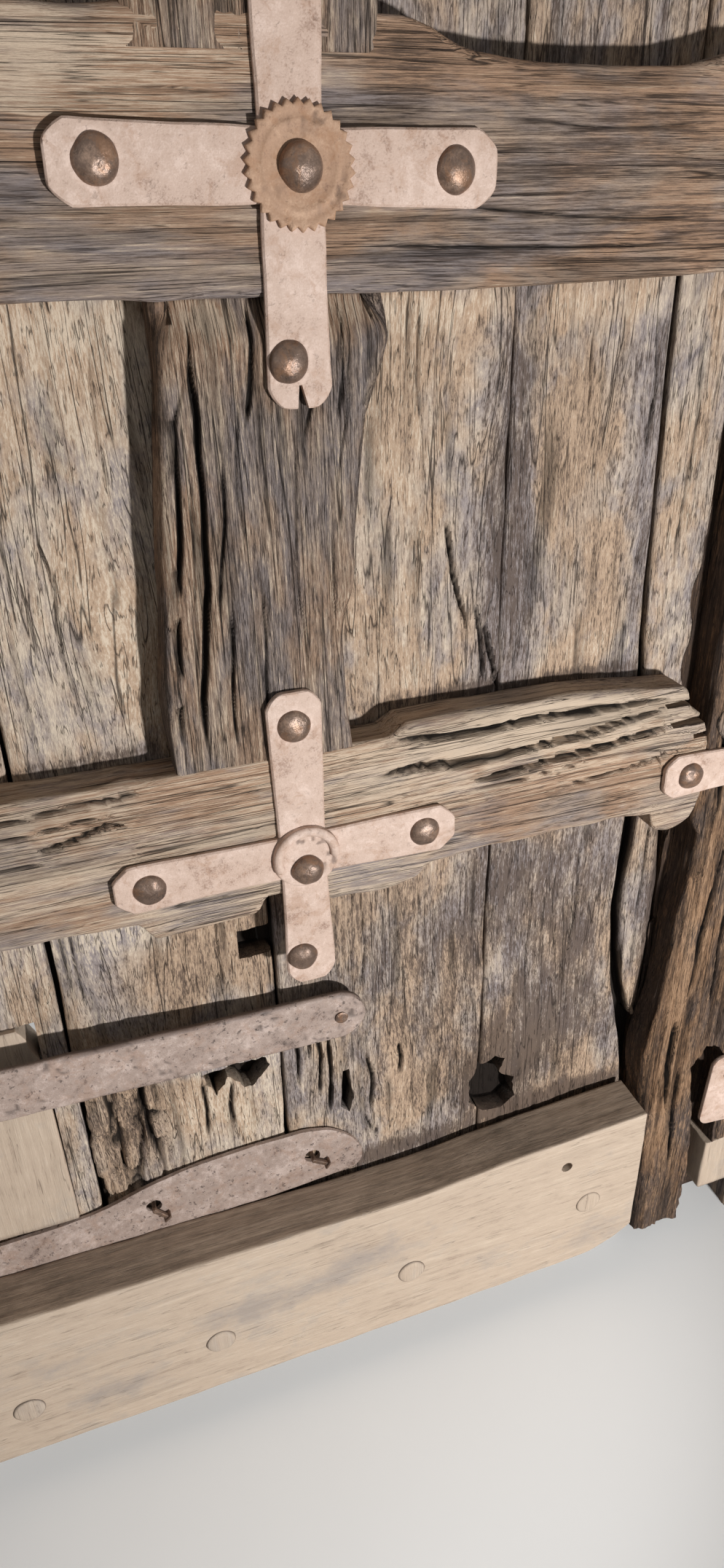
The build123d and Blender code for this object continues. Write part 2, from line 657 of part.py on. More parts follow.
def bottom_board():
    """Thick new board across the foot of the planks, with a small blind hole near its right end."""
    half, top, foot = BOARD_HALF, BOARD_TOP_Z, BOARD_FOOT_Z
    end = (half, top + BOARD_END_RISE)
    corner = [(half - dx, foot + rise) for dx, rise in BOARD_CORNER]
    face = outline(
        Spline((-half, top), *[(x, top + rise) for x, rise in BOARD_TOP], end),
        Polyline(end, *corner),
        Spline(corner[-1], (half / 3, foot), (-half / 3, foot - 1), (-half, foot)),
        Line((-half, foot), (-half, top)),
    )
    piece = upright(face, BOARD_FRONT, -BOARD_BACK)
    x, z, radius, depth = KNOT_HOLE
    piece -= rod(x, z, radius, BOARD_FRONT - 1, BOARD_FRONT + depth)
    return pegged(piece, plug_places())


# Ironwork

def plate_arm(centre, tip, root_w=ARM_ROOT_W, tip_w=ARM_TIP_W, round_r=TIP_ROUND):
    """Arm of a cross: a flat strip that widens a little towards its rounded tip."""
    dx, dz = tip[0] - centre[0], tip[1] - centre[1]
    length = sqrt(dx**2 + dz**2)
    strip = polygon((0, -root_w / 2), (length, -tip_w / 2), (length, tip_w / 2), (0, root_w / 2))
    ends = [v for v in strip.vertices() if v.X > length / 2]
    strip = fillet(ends, round_r)
    return Pos(*centre) * Rot(0, 0, degrees(atan2(dz, dx))) * strip


def inset_point(centre, tip, inset):
    """Point on an arm this far in from its tip."""
    dx, dz = tip[0] - centre[0], tip[1] - centre[1]
    share = 1 - inset / sqrt(dx**2 + dz**2)
    return centre[0] + dx * share, centre[1] + dz * share


# Each cross: its middle, then how far the tips of its left, right, upper and lower arms are from that
LOWER_CROSS = ((-2.0, LOWER_RAIL_Z - CROSS_UNDER_LOWER_RAIL), ((-163, -1), (139, 0), (-5, 153), (-11, -135)))
MIDDLE_CROSS = ((20.0, MIDDLE_RAIL_Z - CROSS_UNDER_MIDDLE_RAIL), ((-153, 5), (135, -3), (8, 149), (-17, -140)))
UPPER_CROSS = ((0.0, UPPER_RAIL_Z), ((-CROSS_ARM, 0), (CROSS_ARM, 0), (0, CROSS_ARM), (0, -CROSS_ARM)))


def arm_tips(cross):
    (x, z), arms = cross
    return (x, z), [(x + dx, z + dz) for dx, dz in arms]


CROSSES = {"lower": arm_tips(LOWER_CROSS), "middle": arm_tips(MIDDLE_CROSS), "upper": arm_tips(UPPER_CROSS)}
TEES = {name: centre[1] for name, (centre, _) in CROSSES.items()}
IRON_FACE = FRONT - IRON_T


def tee_tips(side, z):
    x = side * STILE_X
    return (x, z), ((x - side * TEE_ARM, z), (x + side * TEE_OUT, z), (x, z + TEE_UP), (x, z - TEE_UP))


def arm_nails(centre, tips):
    """One nail near the tip of each arm that is long enough to take one."""
    found = []
    for tip in tips:
        x, z = inset_point(centre, tip, NAIL_INSET)
        if max(abs(x - centre[0]), abs(z - centre[1])) > TIP_ROUND * 3:
            found.append(Nail(x, z, IRON_FACE, HEAD_R, HEAD_H, FRONT + SHANK_IN))
    return found


def cross_nails():
    nails = []
    for centre, tips in CROSSES.values():
        nails += arm_nails(centre, tips)
    for z in TEES.values():
        for side in (-1, 1):
            centre, tips = tee_tips(side, z)
            nails += arm_nails(centre, tips)
            nails.append(Nail(centre[0], centre[1], IRON_FACE, HEAD_R, HEAD_H, FRONT + SHANK_IN))
    # The lowest nail of the lower cross has lost its muntin and still bites into the plank behind
    lost = min((n for n in nails if abs(n.x) < 60), key=lambda n: n.z)
    nails.remove(lost)
    nails.append(lost._replace(tip=PLANK_T / 2))
    return nails


def boss_nails():
    """Large nails through the rosettes."""
    nails = []
    for name, (centre, _) in CROSSES.items():
        thick = PLAIN_ROSETTE_T if name == "lower" else ROSETTE_T - DISH_DEPTH
        drop = 12 if name == "lower" else 0
        nails.append(Nail(centre[0], centre[1] - drop, IRON_FACE - thick, BOSS_HEAD_R, BOSS_HEAD_H,
                          FRONT + SHANK_IN))
    return nails


def hinge_nails():
    """Nails of the two hinge straps: two in the stile, one or two near the tip."""
    nails = []
    for z, drop, bent in ((LOWER_HINGE_Z, LOWER_STRAP_DROP, LOWER_STRAP_IN), (UPPER_HINGE_Z, 0, 0)):
        seat = FRONT - STRAP_T
        for x in (-LEAF_HALF + 38, -INNER - 30):
            nails.append(Nail(x, strap_z(x, z, drop), seat, HEAD_R, HEAD_H, FRONT + SHANK_IN))
        x = STRAP_TIP_X - 26
        tip = PLANK_T / 2 if bent else FRONT + SHANK_IN
        slant = bent / (STRAP_TIP_X + INNER)
        seat += strap_in(x, bent) - slant * (HEAD_R + 2)
        nails.append(Nail(x, strap_z(x, z, drop), seat, HEAD_R, HEAD_H, tip))
    return nails


def small_nails():
    """Small nails of the bolt plate, the guides, the keeper, the pintles and the foot plate."""
    plate = FRONT - BOLT_PLATE_T
    places = []
    foot_rise = guide_foot_middle(GUIDE_SLIP, GUIDE_T, GUIDE_FOOT)
    for x in bolt_guide_places():
        for up in (-1, 1):
            places.append((x, BOLT_Z + up * foot_rise, plate - GUIDE_T))
    for up in (-1, 1):
        rise = up * (BOLT_PLATE_H / 2 - BOLT_PLATE_NAIL_IN)
        places.append((BOLT_PLATE_LEFT + BOLT_PLATE_W / 2, BOLT_Z + rise, plate))
    _, x1, z0, z1 = FOOT_PLATE
    inset = FOOT_PLATE_NAIL_IN
    places += [(x1 - inset, z0 + inset, IRON_FACE), (x1 - inset, z1 - inset, IRON_FACE)]
    return [Nail(x, z, seat, RIVET_R, RIVET_H, FRONT + 30) for x, z, seat in places]


def frame_nails():
    """Nails that hold the keeper and the pintle plates to the jambs."""
    places = []
    x = FRAME_IN + KEEPER_IN + KEEPER_W / 2
    for up in (-1, 1):
        middle = guide_foot_middle(KEEPER_SLIP, KEEPER_T, KEEPER_FOOT)
        places.append((x, BOLT_Z + up * middle, FRONT - KEEPER_T, RIVET_R + 2, RIVET_H + 1))
    for z in (LOWER_HINGE_Z, UPPER_HINGE_Z):
        for x in (pintle_plate_left() + 15, pintle_plate_left() + PINTLE_PLATE_W - 15):
            for up in (-1, 1):
                place_z = pintle_plate_middle(z) + up * (PINTLE_PLATE_H / 2 - 14)
                places.append((x, place_z, FRONT - PINTLE_PLATE_T, RIVET_R + 3, RIVET_H + 2))
    return [Nail(x, z, seat, r, h, FRONT + SHANK_IN) for x, z, seat, r, h in places]


def cross(name, nails):
    centre, tips = CROSSES[name]
    face = Pos(*centre) * Circle(ARM_ROOT_W / 2 + 6)
    for tip in tips:
        face += plate_arm(centre, tip)
    return nailed(upright(face, IRON_FACE, FRONT), nails)


def tee(side, z, nails):
    centre, tips = tee_tips(side, z)
    face = Pos(*centre) * Circle(ARM_ROOT_W / 2 + 4)
    for tip in tips:
        face += plate_arm(centre, tip)
    return nailed(upright(face, IRON_FACE, FRONT), nails)


def toothed_rosette(name, nails):
    """Dished disc with a row of teeth round its rim, under the boss nail of a cross."""
    (x, z), _ = CROSSES[name]
    step = 360 / (2 * TEETH)
    rim = [TOOTHED_R - TOOTH_DEPTH * (i % 2) for i in range(2 * TEETH)]
    points = [(x + r * cos(radians(i * step)), z + r * sin(radians(i * step))) for i, r in enumerate(rim)]
    disc = upright(polygon(*points), IRON_FACE - ROSETTE_T, IRON_FACE)
    disc -= rod(x, z, DISH_R, IRON_FACE - ROSETTE_T, IRON_FACE - ROSETTE_T + DISH_DEPTH)
    return nailed(disc, nails)


def broken_rosette(nails):
    """Plain disc with a raised ring, of which a third has broken off."""
    (x, z), _ = CROSSES["lower"]
    disc = rod(x, z, PLAIN_ROSETTE_R, IRON_FACE - PLAIN_ROSETTE_T, IRON_FACE)
    ring = Circle(PLAIN_ROSETTE_R) - Circle(PLAIN_ROSETTE_R - 6)
    ring -= polygon((0, 0), (80, -12), (60, -90), (-60, -90), (-60, -60))
    disc += upright(Pos(x, z) * ring, IRON_FACE - PLAIN_ROSETTE_T - 3, IRON_FACE - PLAIN_ROSETTE_T)
    return nailed(disc, nails)


def foot_plate(nails):
    """Plate with a rounded, slanting left end that bridges the rotten hollow in the closing stile."""
    x0, x1, z0, z1 = FOOT_PLATE
    strip = polygon((x0, z0 + 8), (x1, z0), (x1, z1), (x0 + 6, z1 - 2))
    strip = fillet([v for v in strip.vertices() if v.X < x0 + 20], 14)
    piece = upright(strip, IRON_FACE, FRONT) - rod(x0 + 32, z0 + 84, 8, IRON_FACE - 1, FRONT + 1)
    return nailed(piece, nails)


def foot_block():
    """New piece of wood let into the eaten corner of the closing stile."""
    x0, x1, z0, z1 = FOOT_BLOCK
    return zone(x0, x1, z0, z1, FRONT, 0)


# Strap hinges

HINGE_X = -LEAF_HALF - LEAF_GAP / 2
HINGE_Y = FRONT - EYE_CLEAR - EYE_R


def strap_z(x, z, drop):
    """Middle line of a strap that sinks evenly from its eye to its tip."""
    return z - drop * (x - HINGE_X) / (STRAP_TIP_X - HINGE_X)


def strap_in(x, bent):
    """How far back the strap is bent at x: not at all on the stile, then evenly to its tip."""
    return max(0.0, bent * (x + INNER) / (STRAP_TIP_X + INNER))


def hinge_strap(z, drop, bent, nails):
    """Strap with a rolled eye that turns on the upright pin of its pintle."""
    half = STRAP_W / 2
    tip = STRAP_TIP_X
    end_z = strap_z(tip, z, drop)
    upper, lower = (tip - half, end_z + half), (tip - half, end_z - half)
    face = outline(
        Polyline(upper, (HINGE_X, z + half), (HINGE_X, z - half), lower),
        ThreePointArc(lower, (tip, end_z), upper),
    )
    step = EYE_CLEAR
    plan = Polyline(
        (HINGE_X, FRONT - step), (-LEAF_HALF + 8, FRONT - step), (-LEAF_HALF + 14, FRONT), (-INNER, FRONT),
        (tip + 1, FRONT + bent), (tip + 1, FRONT + bent - STRAP_T), (-INNER, FRONT - STRAP_T),
        (-LEAF_HALF + 14, FRONT - STRAP_T), (-LEAF_HALF + 8, FRONT - step - STRAP_T),
        (HINGE_X, FRONT - step - STRAP_T), close=True)
    bar = Pos(0, 0, z - drop - STRAP_W) * extrude(outline(plan), amount=drop + 2 * STRAP_W)
    bar &= upright(face, FRONT - 2 * STRAP_T, 0)
    eye = Pos(HINGE_X, HINGE_Y, z) * Cylinder(EYE_R, EYE_H)
    pin_hole = Pos(HINGE_X, HINGE_Y, z) * Cylinder(PIN_R + PIN_GAP, EYE_H + 2)
    return nailed(bar + eye - pin_hole, nails)


def pintle_plate_left():
    return HINGE_X - 30 - PINTLE_PLATE_W


def pintle_plate_middle(z):
    """The plate is centred on the lug."""
    return z - EYE_H / 2 - LUG_CLEAR - LUG_H / 2


def pintle(z, nails):
    """Plate on the jamb with a lug under the hinge eye and an upright pin on it."""
    middle = pintle_plate_middle(z)
    left = pintle_plate_left()
    plate = Pos(left + PINTLE_PLATE_W / 2, middle) * RectangleRounded(PINTLE_PLATE_W, PINTLE_PLATE_H, 12)
    piece = upright(plate, FRONT - PINTLE_PLATE_T, FRONT)
    arm = polygon((left + 22, FRONT), (left + 22, FRONT - 12), (HINGE_X - 8, HINGE_Y - 11),
                  (HINGE_X, HINGE_Y - 11), (HINGE_X, HINGE_Y + 11),
                  (left + PINTLE_PLATE_W, FRONT - PINTLE_PLATE_T + 1), (left + PINTLE_PLATE_W, FRONT))
    arm += Pos(HINGE_X, HINGE_Y) * Circle(EYE_R - 2)
    piece += Pos(0, 0, middle - LUG_H / 2) * extrude(arm, amount=LUG_H)
    pin_l = EYE_H + LUG_CLEAR + 6
    pin = Cylinder(PIN_R, pin_l, align=(Align.CENTER, Align.CENTER, Align.MIN))
    pin = chamfer(pin.edges().sort_by(Axis.Z)[-1], 2)
    piece += Pos(HINGE_X, HINGE_Y, middle + LUG_H / 2) * pin
    return nailed(piece, nails)


# Old strap and its bent nails

OLD_STRAP_BACK = -BOARD_BACK + OLD_STRAP_T
OLD_STRAP_TOP = ((-340, 300), (-246, 305), (-172, 325), (-120, 334), (-61, 337), (-18, 337))
OLD_STRAP_END = ((-18, 337), (11, 331), (36, 314), (51, 292), (52, 274))
OLD_STRAP_FOOT = ((52, 274), (40, 262), (-120, 252), (-340, 244), (-340, 300))


def old_strap():
    """Strap with a broad rounded end and two holes, caught between the bottom board and the planks."""
    face = outline(Spline(*OLD_STRAP_TOP), Spline(*OLD_STRAP_END), Polyline(*OLD_STRAP_FOOT))
    piece = upright(face, -BOARD_BACK, OLD_STRAP_BACK)
    for x, z, radius in OLD_STRAP_HOLES:
        piece -= rod(x, z, radius, -BOARD_BACK - 1, OLD_STRAP_BACK + 1)
    return piece


def bent_nail(x, z, turn):
    """Nail driven into the plank through a hole of the old strap and bent over in front of it."""
    half = BENT_SHANK / 2
    out = -BOARD_BACK - BENT_OUT
    shank = zone(x - half, x + half, z - half, z + half, out, PLANK_T / 2)
    arm = Pos(BENT_LENGTH / 2 - half, 0, 0) * Box(BENT_LENGTH, BENT_SHANK, BENT_SHANK)
    head = Pos(BENT_LENGTH - half, 0, 0) * Box(half, BENT_HEAD, BENT_HEAD)
    return shank + Pos(x, out + half, z) * Rot(0, -turn, 0) * (arm + head)


def bent_nail_holes(piece):
    half = BENT_SHANK / 2 + SHANK_GAP
    for x, z, _ in OLD_STRAP_HOLES:
        piece -= zone(x - half, x + half, z - half, z + half, -1, PLANK_T / 2 + 1)
    return piece


# Sliding bolt

BOLT_BACK = FRONT - BOLT_PLATE_T - BOLT_SLIP
BOLT_FACE = BOLT_BACK - BOLT_T


def bolt_guide_places():
    inset = GUIDE_INSET + GUIDE_W / 2
    return BOLT_PLATE_LEFT + inset, BOLT_PLATE_LEFT + BOLT_PLATE_W - inset


def guide_foot_middle(slip, band, foot):
    return BOLT_H / 2 + slip + band + foot / 2


def bridge(seat, slip, band, foot):
    """Section of a bent iron strip that bridges the bolt, drawn in y and z about the middle of the bolt."""
    inner_z = BOLT_H / 2 + slip
    inner_y = BOLT_FACE - slip
    outer_z, outer_y = inner_z + band, inner_y - band
    end_z = outer_z + foot
    half = [(seat, end_z), (seat - band, end_z), (seat - band, outer_z), (outer_y, outer_z)]
    inner = [(inner_y, inner_z), (seat, inner_z)]
    down = [(y, -z) for y, z in reversed(half)]
    return polygon(*half, *down, *[(y, -z) for y, z in reversed(inner)], *inner)


def across(profile, x0, x1, z):
    """Give a section drawn in y and z its length along X."""
    plane = Plane(origin=(x0, 0, z), x_dir=(0, 1, 0), z_dir=(1, 0, 0))
    return extrude(plane * profile, amount=x1 - x0)


def bolt_plate(nails):
    plate = Pos(BOLT_PLATE_LEFT + BOLT_PLATE_W / 2, BOLT_Z) * RectangleRounded(BOLT_PLATE_W, BOLT_PLATE_H, 10)
    return nailed(upright(plate, FRONT - BOLT_PLATE_T, FRONT), nails)


def bolt_guides(nails):
    section = bridge(FRONT - BOLT_PLATE_T, GUIDE_SLIP, GUIDE_T, GUIDE_FOOT)
    half = GUIDE_W / 2
    return [nailed(across(section, x - half, x + half, BOLT_Z), nails) for x in bolt_guide_places()]


def bolt_keeper(nails):
    left = FRAME_IN + KEEPER_IN
    section = bridge(FRONT, KEEPER_SLIP, KEEPER_T, KEEPER_FOOT)
    return nailed(across(section, left, left + KEEPER_W, BOLT_Z), nails)


def slide_bolt():
    """Flat bolt with a riveted knob, drawn back inside the edge of the leaf."""
    start, end = BOLT_PLATE_LEFT - BOLT_TAIL, LEAF_HALF - BOLT_END
    bar = zone(start, end, BOLT_Z - BOLT_H / 2, BOLT_Z + BOLT_H / 2, BOLT_FACE, BOLT_BACK)
    bar = chamfer(bar.edges().filter_by(Axis.Y).sort_by(Axis.X)[-2:], 3)
    x = BOLT_PLATE_LEFT + GUIDE_INSET + GUIDE_W + KNOB_ROOM + KNOB_R
    neck = BOLT_FACE - GUIDE_T - 5
    stem = rod(x, BOLT_Z, KNOB_R / 2, neck, BOLT_FACE)
    knob = Pos(x, neck - KNOB_R * 0.7, BOLT_Z) * Sphere(KNOB_R)
    return bar + stem + knob


# Drop ring

ROSE_FACE = FRONT - ROSE_T
RING_Y = ROSE_FACE - RING_STAND - RING_ROD_R
RING_PIVOT_Z = RING_Z - EYELET_SLIP + RING_REST
EYELET_R = RING_ROD_R + EYELET_SLIP + EYELET_ROD_R


def ring_rose():
    """Disc with a waved edge behind the ring, with holes for the legs of the eyelet."""
    petals = 8
    points = [(RING_X + (ROSE_R - 4 * (i % 2)) * cos(radians(i * 180 / petals)),
               RING_Z + (ROSE_R - 4 * (i % 2)) * sin(radians(i * 180 / petals))) for i in range(2 * petals)]
    piece = upright(polygon(*points), ROSE_FACE, FRONT)
    return eyelet_holes(piece)


def eyelet_holes(piece):
    radius = EYELET_ROD_R + PEG_GAP
    for up in (-1, 1):
        piece -= rod(RING_X, RING_Z + up * EYELET_R, radius, ROSE_FACE - 1, FRONT + SHANK_IN + 1)
    return piece


def eyelet():
    """Staple whose round nose holds the ring and whose legs go through the rose into the stile."""
    nose = Torus(EYELET_R, EYELET_ROD_R)
    nose = Pos(RING_X, RING_Y, RING_Z) * Rot(0, 90, 0) * nose
    nose &= zone(y1=RING_Y)
    legs = [rod(RING_X, RING_Z + up * EYELET_R, EYELET_ROD_R, RING_Y, FRONT + SHANK_IN) for up in (-1, 1)]
    return nose + legs[0] + legs[1]


def pull_ring():
    """Round ring that hangs from the eyelet."""
    return Pos(RING_X, RING_Y, RING_PIVOT_Z - RING_R) * Rot(90, 0, 0) * Torus(RING_R, RING_ROD_R)


def build():
    """Make every piece of the door, by name."""
    crosses, bosses, hinges = cross_nails(), boss_nails(), hinge_nails()
    small, framing = small_nails(), frame_nails()
    leaf_nails = crosses + bosses + hinges + small
    seats = muntin_seats()
    lower_muntin = upright(lower_muntin_outline(), FRONT, 0)
    middle_muntin = upright(middle_muntin_outline(), FRONT, 0)
    pieces = {
        "jamb_left": nailed(jamb(-1), framing),
        "jamb_right": nailed(jamb(1), framing),
        "frame_arch_left": frame_arch(-1),
        "frame_arch_right": frame_arch(1),
        "frame_pegs": peg_solids(frame_pegs()),
        "frame_nails": [nail(n) for n in framing],
        "pintle_lower": pintle(LOWER_HINGE_Z, framing),
        "pintle_upper": pintle(UPPER_HINGE_Z, framing),
        "bolt_keeper": bolt_keeper(framing),
        "stile_left": nailed(stile_left(), leaf_nails),
        "stile_right": eyelet_holes(nailed(stile_right(), leaf_nails)),
        "leaf_head_left": nailed(leaf_head(-1), leaf_nails),
        "leaf_head_right": nailed(leaf_head(1), leaf_nails),
        "head_pegs": peg_solids(head_pegs()),
        "tenon_pegs": peg_solids(tenon_pegs()),
        "rail_lower": rail("lower", lower_rail_outline(), [seats["lower_foot"]]),
        "rail_middle": rail("middle", middle_rail_outline(), [seats["lower_top"], seats["middle_foot"]]),
        "rail_upper": rail("upper", upper_rail_outline(), [seats["middle_top"], seats["top_foot"]]),
        "muntin_lower": with_stubs(lower_muntin, seats["lower_foot"], seats["lower_top"]),
        "muntin_middle": with_stubs(middle_muntin, seats["middle_foot"], seats["middle_top"]),
        "muntin_top": with_stubs(top_muntin(), seats["top_foot"]),
        "patch_board": patch(),
        "bottom_board": bottom_board(),
        "board_plugs": peg_solids(plug_places()),
        "cross_lower": cross("lower", crosses + bosses),
        "cross_middle": cross("middle", crosses + bosses),
        "cross_upper": cross("upper", crosses + bosses),
        "rosette_lower": broken_rosette(bosses),
        "rosette_middle": toothed_rosette("middle", bosses),
        "rosette_upper": toothed_rosette("upper", bosses),
        "cross_nails": [nail(n) for n in crosses],
        "boss_nails": [nail(n) for n in bosses],
        "hinge_strap_lower": hinge_strap(LOWER_HINGE_Z, LOWER_STRAP_DROP, LOWER_STRAP_IN, hinges),
        "hinge_strap_upper": hinge_strap(UPPER_HINGE_Z, 0, 0, hinges),
        "hinge_nails": [nail(n) for n in hinges],
        "old_strap": old_strap(),
        "bent_nails": [bent_nail(x, z, turn) for (x, z, _), turn in zip(OLD_STRAP_HOLES, BENT_ANGLES)],
        "foot_plate": foot_plate(small),
        "foot_block": foot_block(),
        "bolt_plate": bolt_plate(small),
        "bolt_guides": bolt_guides(small),
        "small_nails": [nail(n) for n in small],
        "slide_bolt": slide_bolt(),
        "ring_rose": ring_rose(),
        "ring_eyelet": eyelet(),
        "pull_ring": pull_ring(),
    }
    for level, z in TEES.items():
        for side, word in ((-1, "left"), (1, "right")):
            pieces[f"tee_{level}_{word}"] = tee(side, z, crosses)
    for name, plank in planks().items():
        pieces[name] = bent_nail_holes(nailed(plank, leaf_nails))
    for name in ("rail_lower", "rail_middle", "rail_upper", "muntin_lower", "muntin_middle", "muntin_top"):
        pieces[name] = nailed(pieces[name], leaf_nails)
    return pieces


def solids_of(piece):
    shapes = piece if isinstance(piece, list) else [piece]
    return [solid for shape in shapes for solid in shape.solids()]


def main():
    os.makedirs("parts", exist_ok=True)
    pieces = {name: solids_of(piece) for name, piece in build().items()}
    boxes = [solid.bounding_box() for solids in pieces.values() for solid in solids]
    middle_y = (min(box.min.Y for box in boxes) + max(box.max.Y for box in boxes)) / 2
    print("moved along Y by", round(-middle_y, 4))
    shift = Pos(0, -middle_y, 0)
    for name, solids in pieces.items():
        moved = [shift * solid for solid in solids]
        shape = moved[0] if len(moved) == 1 else Compound(children=moved)
        export_step(shape, f"parts/{name}.step")


main()
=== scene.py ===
from dataclasses import dataclass, field
from math import cos, pi, radians, sin, sqrt
from typing import Callable

import bmesh
import bpy
import numpy as np
from bpy.props import FloatProperty, FloatVectorProperty, PointerProperty
from mathutils import Matrix, Vector


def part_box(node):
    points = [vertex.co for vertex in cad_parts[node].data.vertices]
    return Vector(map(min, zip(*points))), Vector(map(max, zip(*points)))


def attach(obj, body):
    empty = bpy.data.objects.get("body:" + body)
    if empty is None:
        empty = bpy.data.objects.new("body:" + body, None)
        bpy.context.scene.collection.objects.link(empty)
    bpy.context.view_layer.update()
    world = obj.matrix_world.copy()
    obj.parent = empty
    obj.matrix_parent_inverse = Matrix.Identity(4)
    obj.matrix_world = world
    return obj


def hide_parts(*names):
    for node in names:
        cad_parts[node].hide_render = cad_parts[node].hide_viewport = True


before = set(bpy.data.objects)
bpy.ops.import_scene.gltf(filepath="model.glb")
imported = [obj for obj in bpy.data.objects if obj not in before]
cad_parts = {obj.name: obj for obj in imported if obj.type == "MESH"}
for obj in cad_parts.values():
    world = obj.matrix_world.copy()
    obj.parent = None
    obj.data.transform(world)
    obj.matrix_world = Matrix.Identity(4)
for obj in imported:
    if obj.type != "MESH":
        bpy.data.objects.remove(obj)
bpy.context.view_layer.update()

bl_info = {
    "name": "Arched oak door",
    "version": (1, 0, 0),
    "blender": (4, 5, 0),
    "location": "View3D > Sidebar > Door",
    "description": "Weathered oak, forged straps and nails of a round-headed door, round its packed frame",
    "category": "Object",
}

# Levels through the door and up it, in metres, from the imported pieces
MM = 0.001
LAP_DEPTH = 0.013          # thickness of the laps between the planks
STOP_GAP = 0.003           # between the leaf's back and the stop of the frame
STOP_WIDTH = 0.025
LEAF_GAP = 0.006           # between the leaf's edge and the frame
FRONT_DEPTH = 0.012        # how far behind its face a timber still ages as its front does
TIMBER_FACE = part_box("rail_upper")[0].y
PLANK_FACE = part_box("plank_c")[0].y
PLANK_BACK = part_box("plank_c")[1].y
LIP_FACE = PLANK_BACK - LAP_DEPTH
STOP_FACE = PLANK_BACK + STOP_GAP
FRAME_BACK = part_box("jamb_left")[1].y
IRON_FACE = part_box("cross_upper")[0].y
BOARD_FACE, BOARD_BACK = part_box("bottom_board")[0].y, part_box("bottom_board")[1].y
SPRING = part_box("leaf_head_left")[0].z
LEAF_HALF = -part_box("leaf_head_left")[0].x
LEAF_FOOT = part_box("stile_left")[0].z
STILE_W = 0.150
INNER = LEAF_HALF - STILE_W
FRAME_IN = LEAF_HALF + LEAF_GAP
FRAME_OUT = -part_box("jamb_left")[0].x
STOP_IN = FRAME_IN - STOP_WIDTH
ARCH_R = 0.5               # radius at which distances along an arch are measured
HEAD_LAP, CROWN_LAP = 0.090, 0.050
FRAME_LAP, FRAME_CROWN_LAP = 0.110, 0.070
CUT_PAST = 0.02            # how far a cutter stands out past the face that it cuts
NAIL_REACH, PEG_REACH = 0.036, 0.040       # points nearer to one another than this are of the same nail or peg
HEAD_DEPTH = 0.012         # depth in which all points of a nail's head lie


# Noise

HASH_AXES, HASH_SEED, HASH_MIX = (374761393, 668265263, 1103515245), 12345, 1274126177
LOW_BITS, FEW_BITS = 0xFFFFFFFF, 0xFFFF


def lattice(i, j, k, seed):
    """Fixed pseudo-random number from -1 to 1 for every point of a lattice."""
    h = (i * HASH_AXES[0] + j * HASH_AXES[1] + k * HASH_AXES[2] + seed * HASH_SEED) & LOW_BITS
    h = ((h ^ (h >> 13)) * HASH_MIX) & LOW_BITS
    h = h ^ (h >> 16)
    return (h & FEW_BITS) / (FEW_BITS / 2) - 1.0


def noise(x, y, z, seed=0):
    """Smooth noise from -1 to 1 whose cells are one unit wide."""
    x, y, z = np.broadcast_arrays(x, y, z)
    cells = [np.floor(v).astype(np.int64) for v in (x, y, z)]
    parts = [v - c for v, c in zip((x, y, z), cells)]
    eased = [p * p * p * (p * (p * 6 - 15) + 10) for p in parts]
    total = np.zeros(x.shape)
    for corner in range(8):
        offset = [(corner >> axis) & 1 for axis in range(3)]
        weight = np.ones(x.shape)
        for part, step in zip(eased, offset):
            weight *= part if step else 1 - part
        total += weight * lattice(*[c + step for c, step in zip(cells, offset)], seed)
    return total


def noise_in(points, size, seed):
    """The same noise at points in space, with cells of this size."""
    return noise(*[v / size for v in np.moveaxis(points, -1, 0)], seed)


def curve(points):
    """Smooth line through (along, across) points in millimetres, as a function of metres."""
    along, across = np.array(sorted(points), float).T * MM
    rise = np.diff(across) / np.diff(along)
    both = rise[:-1] * rise[1:]
    total = np.where(both > 0, rise[:-1] + rise[1:], 1.0)
    inner = np.where(both > 0, 2 * both / total, 0.0)
    slope = np.concatenate([[rise[0]], inner, [rise[-1]]])

    def line(s):
        s = np.clip(np.asarray(s, float), along[0], along[-1])
        i = np.clip(np.searchsorted(along, s) - 1, 0, len(along) - 2)
        step = along[i + 1] - along[i]
        t = (s - along[i]) / step
        h = t * t * (3 - 2 * t)
        bend = t * (1 - t) * step * (slope[i] * (1 - t) - slope[i + 1] * t)
        return across[i] * (1 - h) + across[i + 1] * h + bend

    return line


def constant(value):
    return lambda s: np.full(np.shape(s), float(value))


def spread(start, stop, coarse, zones=()):
    """Stations from 0 to 1 along a piece, closer together in the zones (from, to, spacing)."""
    marks = [(start, coarse)]
    for z0, z1, fine in zones:
        if z1 > start and z0 < stop:
            marks += [(max(z0, start), fine), (min(z1, stop), coarse)]
    places = [start]
    for (a, spacing), (b, _) in zip(marks, marks[1:] + [(stop, coarse)]):
        if b > a:
            count = max(1, round((b - a) / spacing))
            places += list(np.linspace(a, b, count + 1)[1:])
    return (np.array(places) - start) / (stop - start)


# Meshes

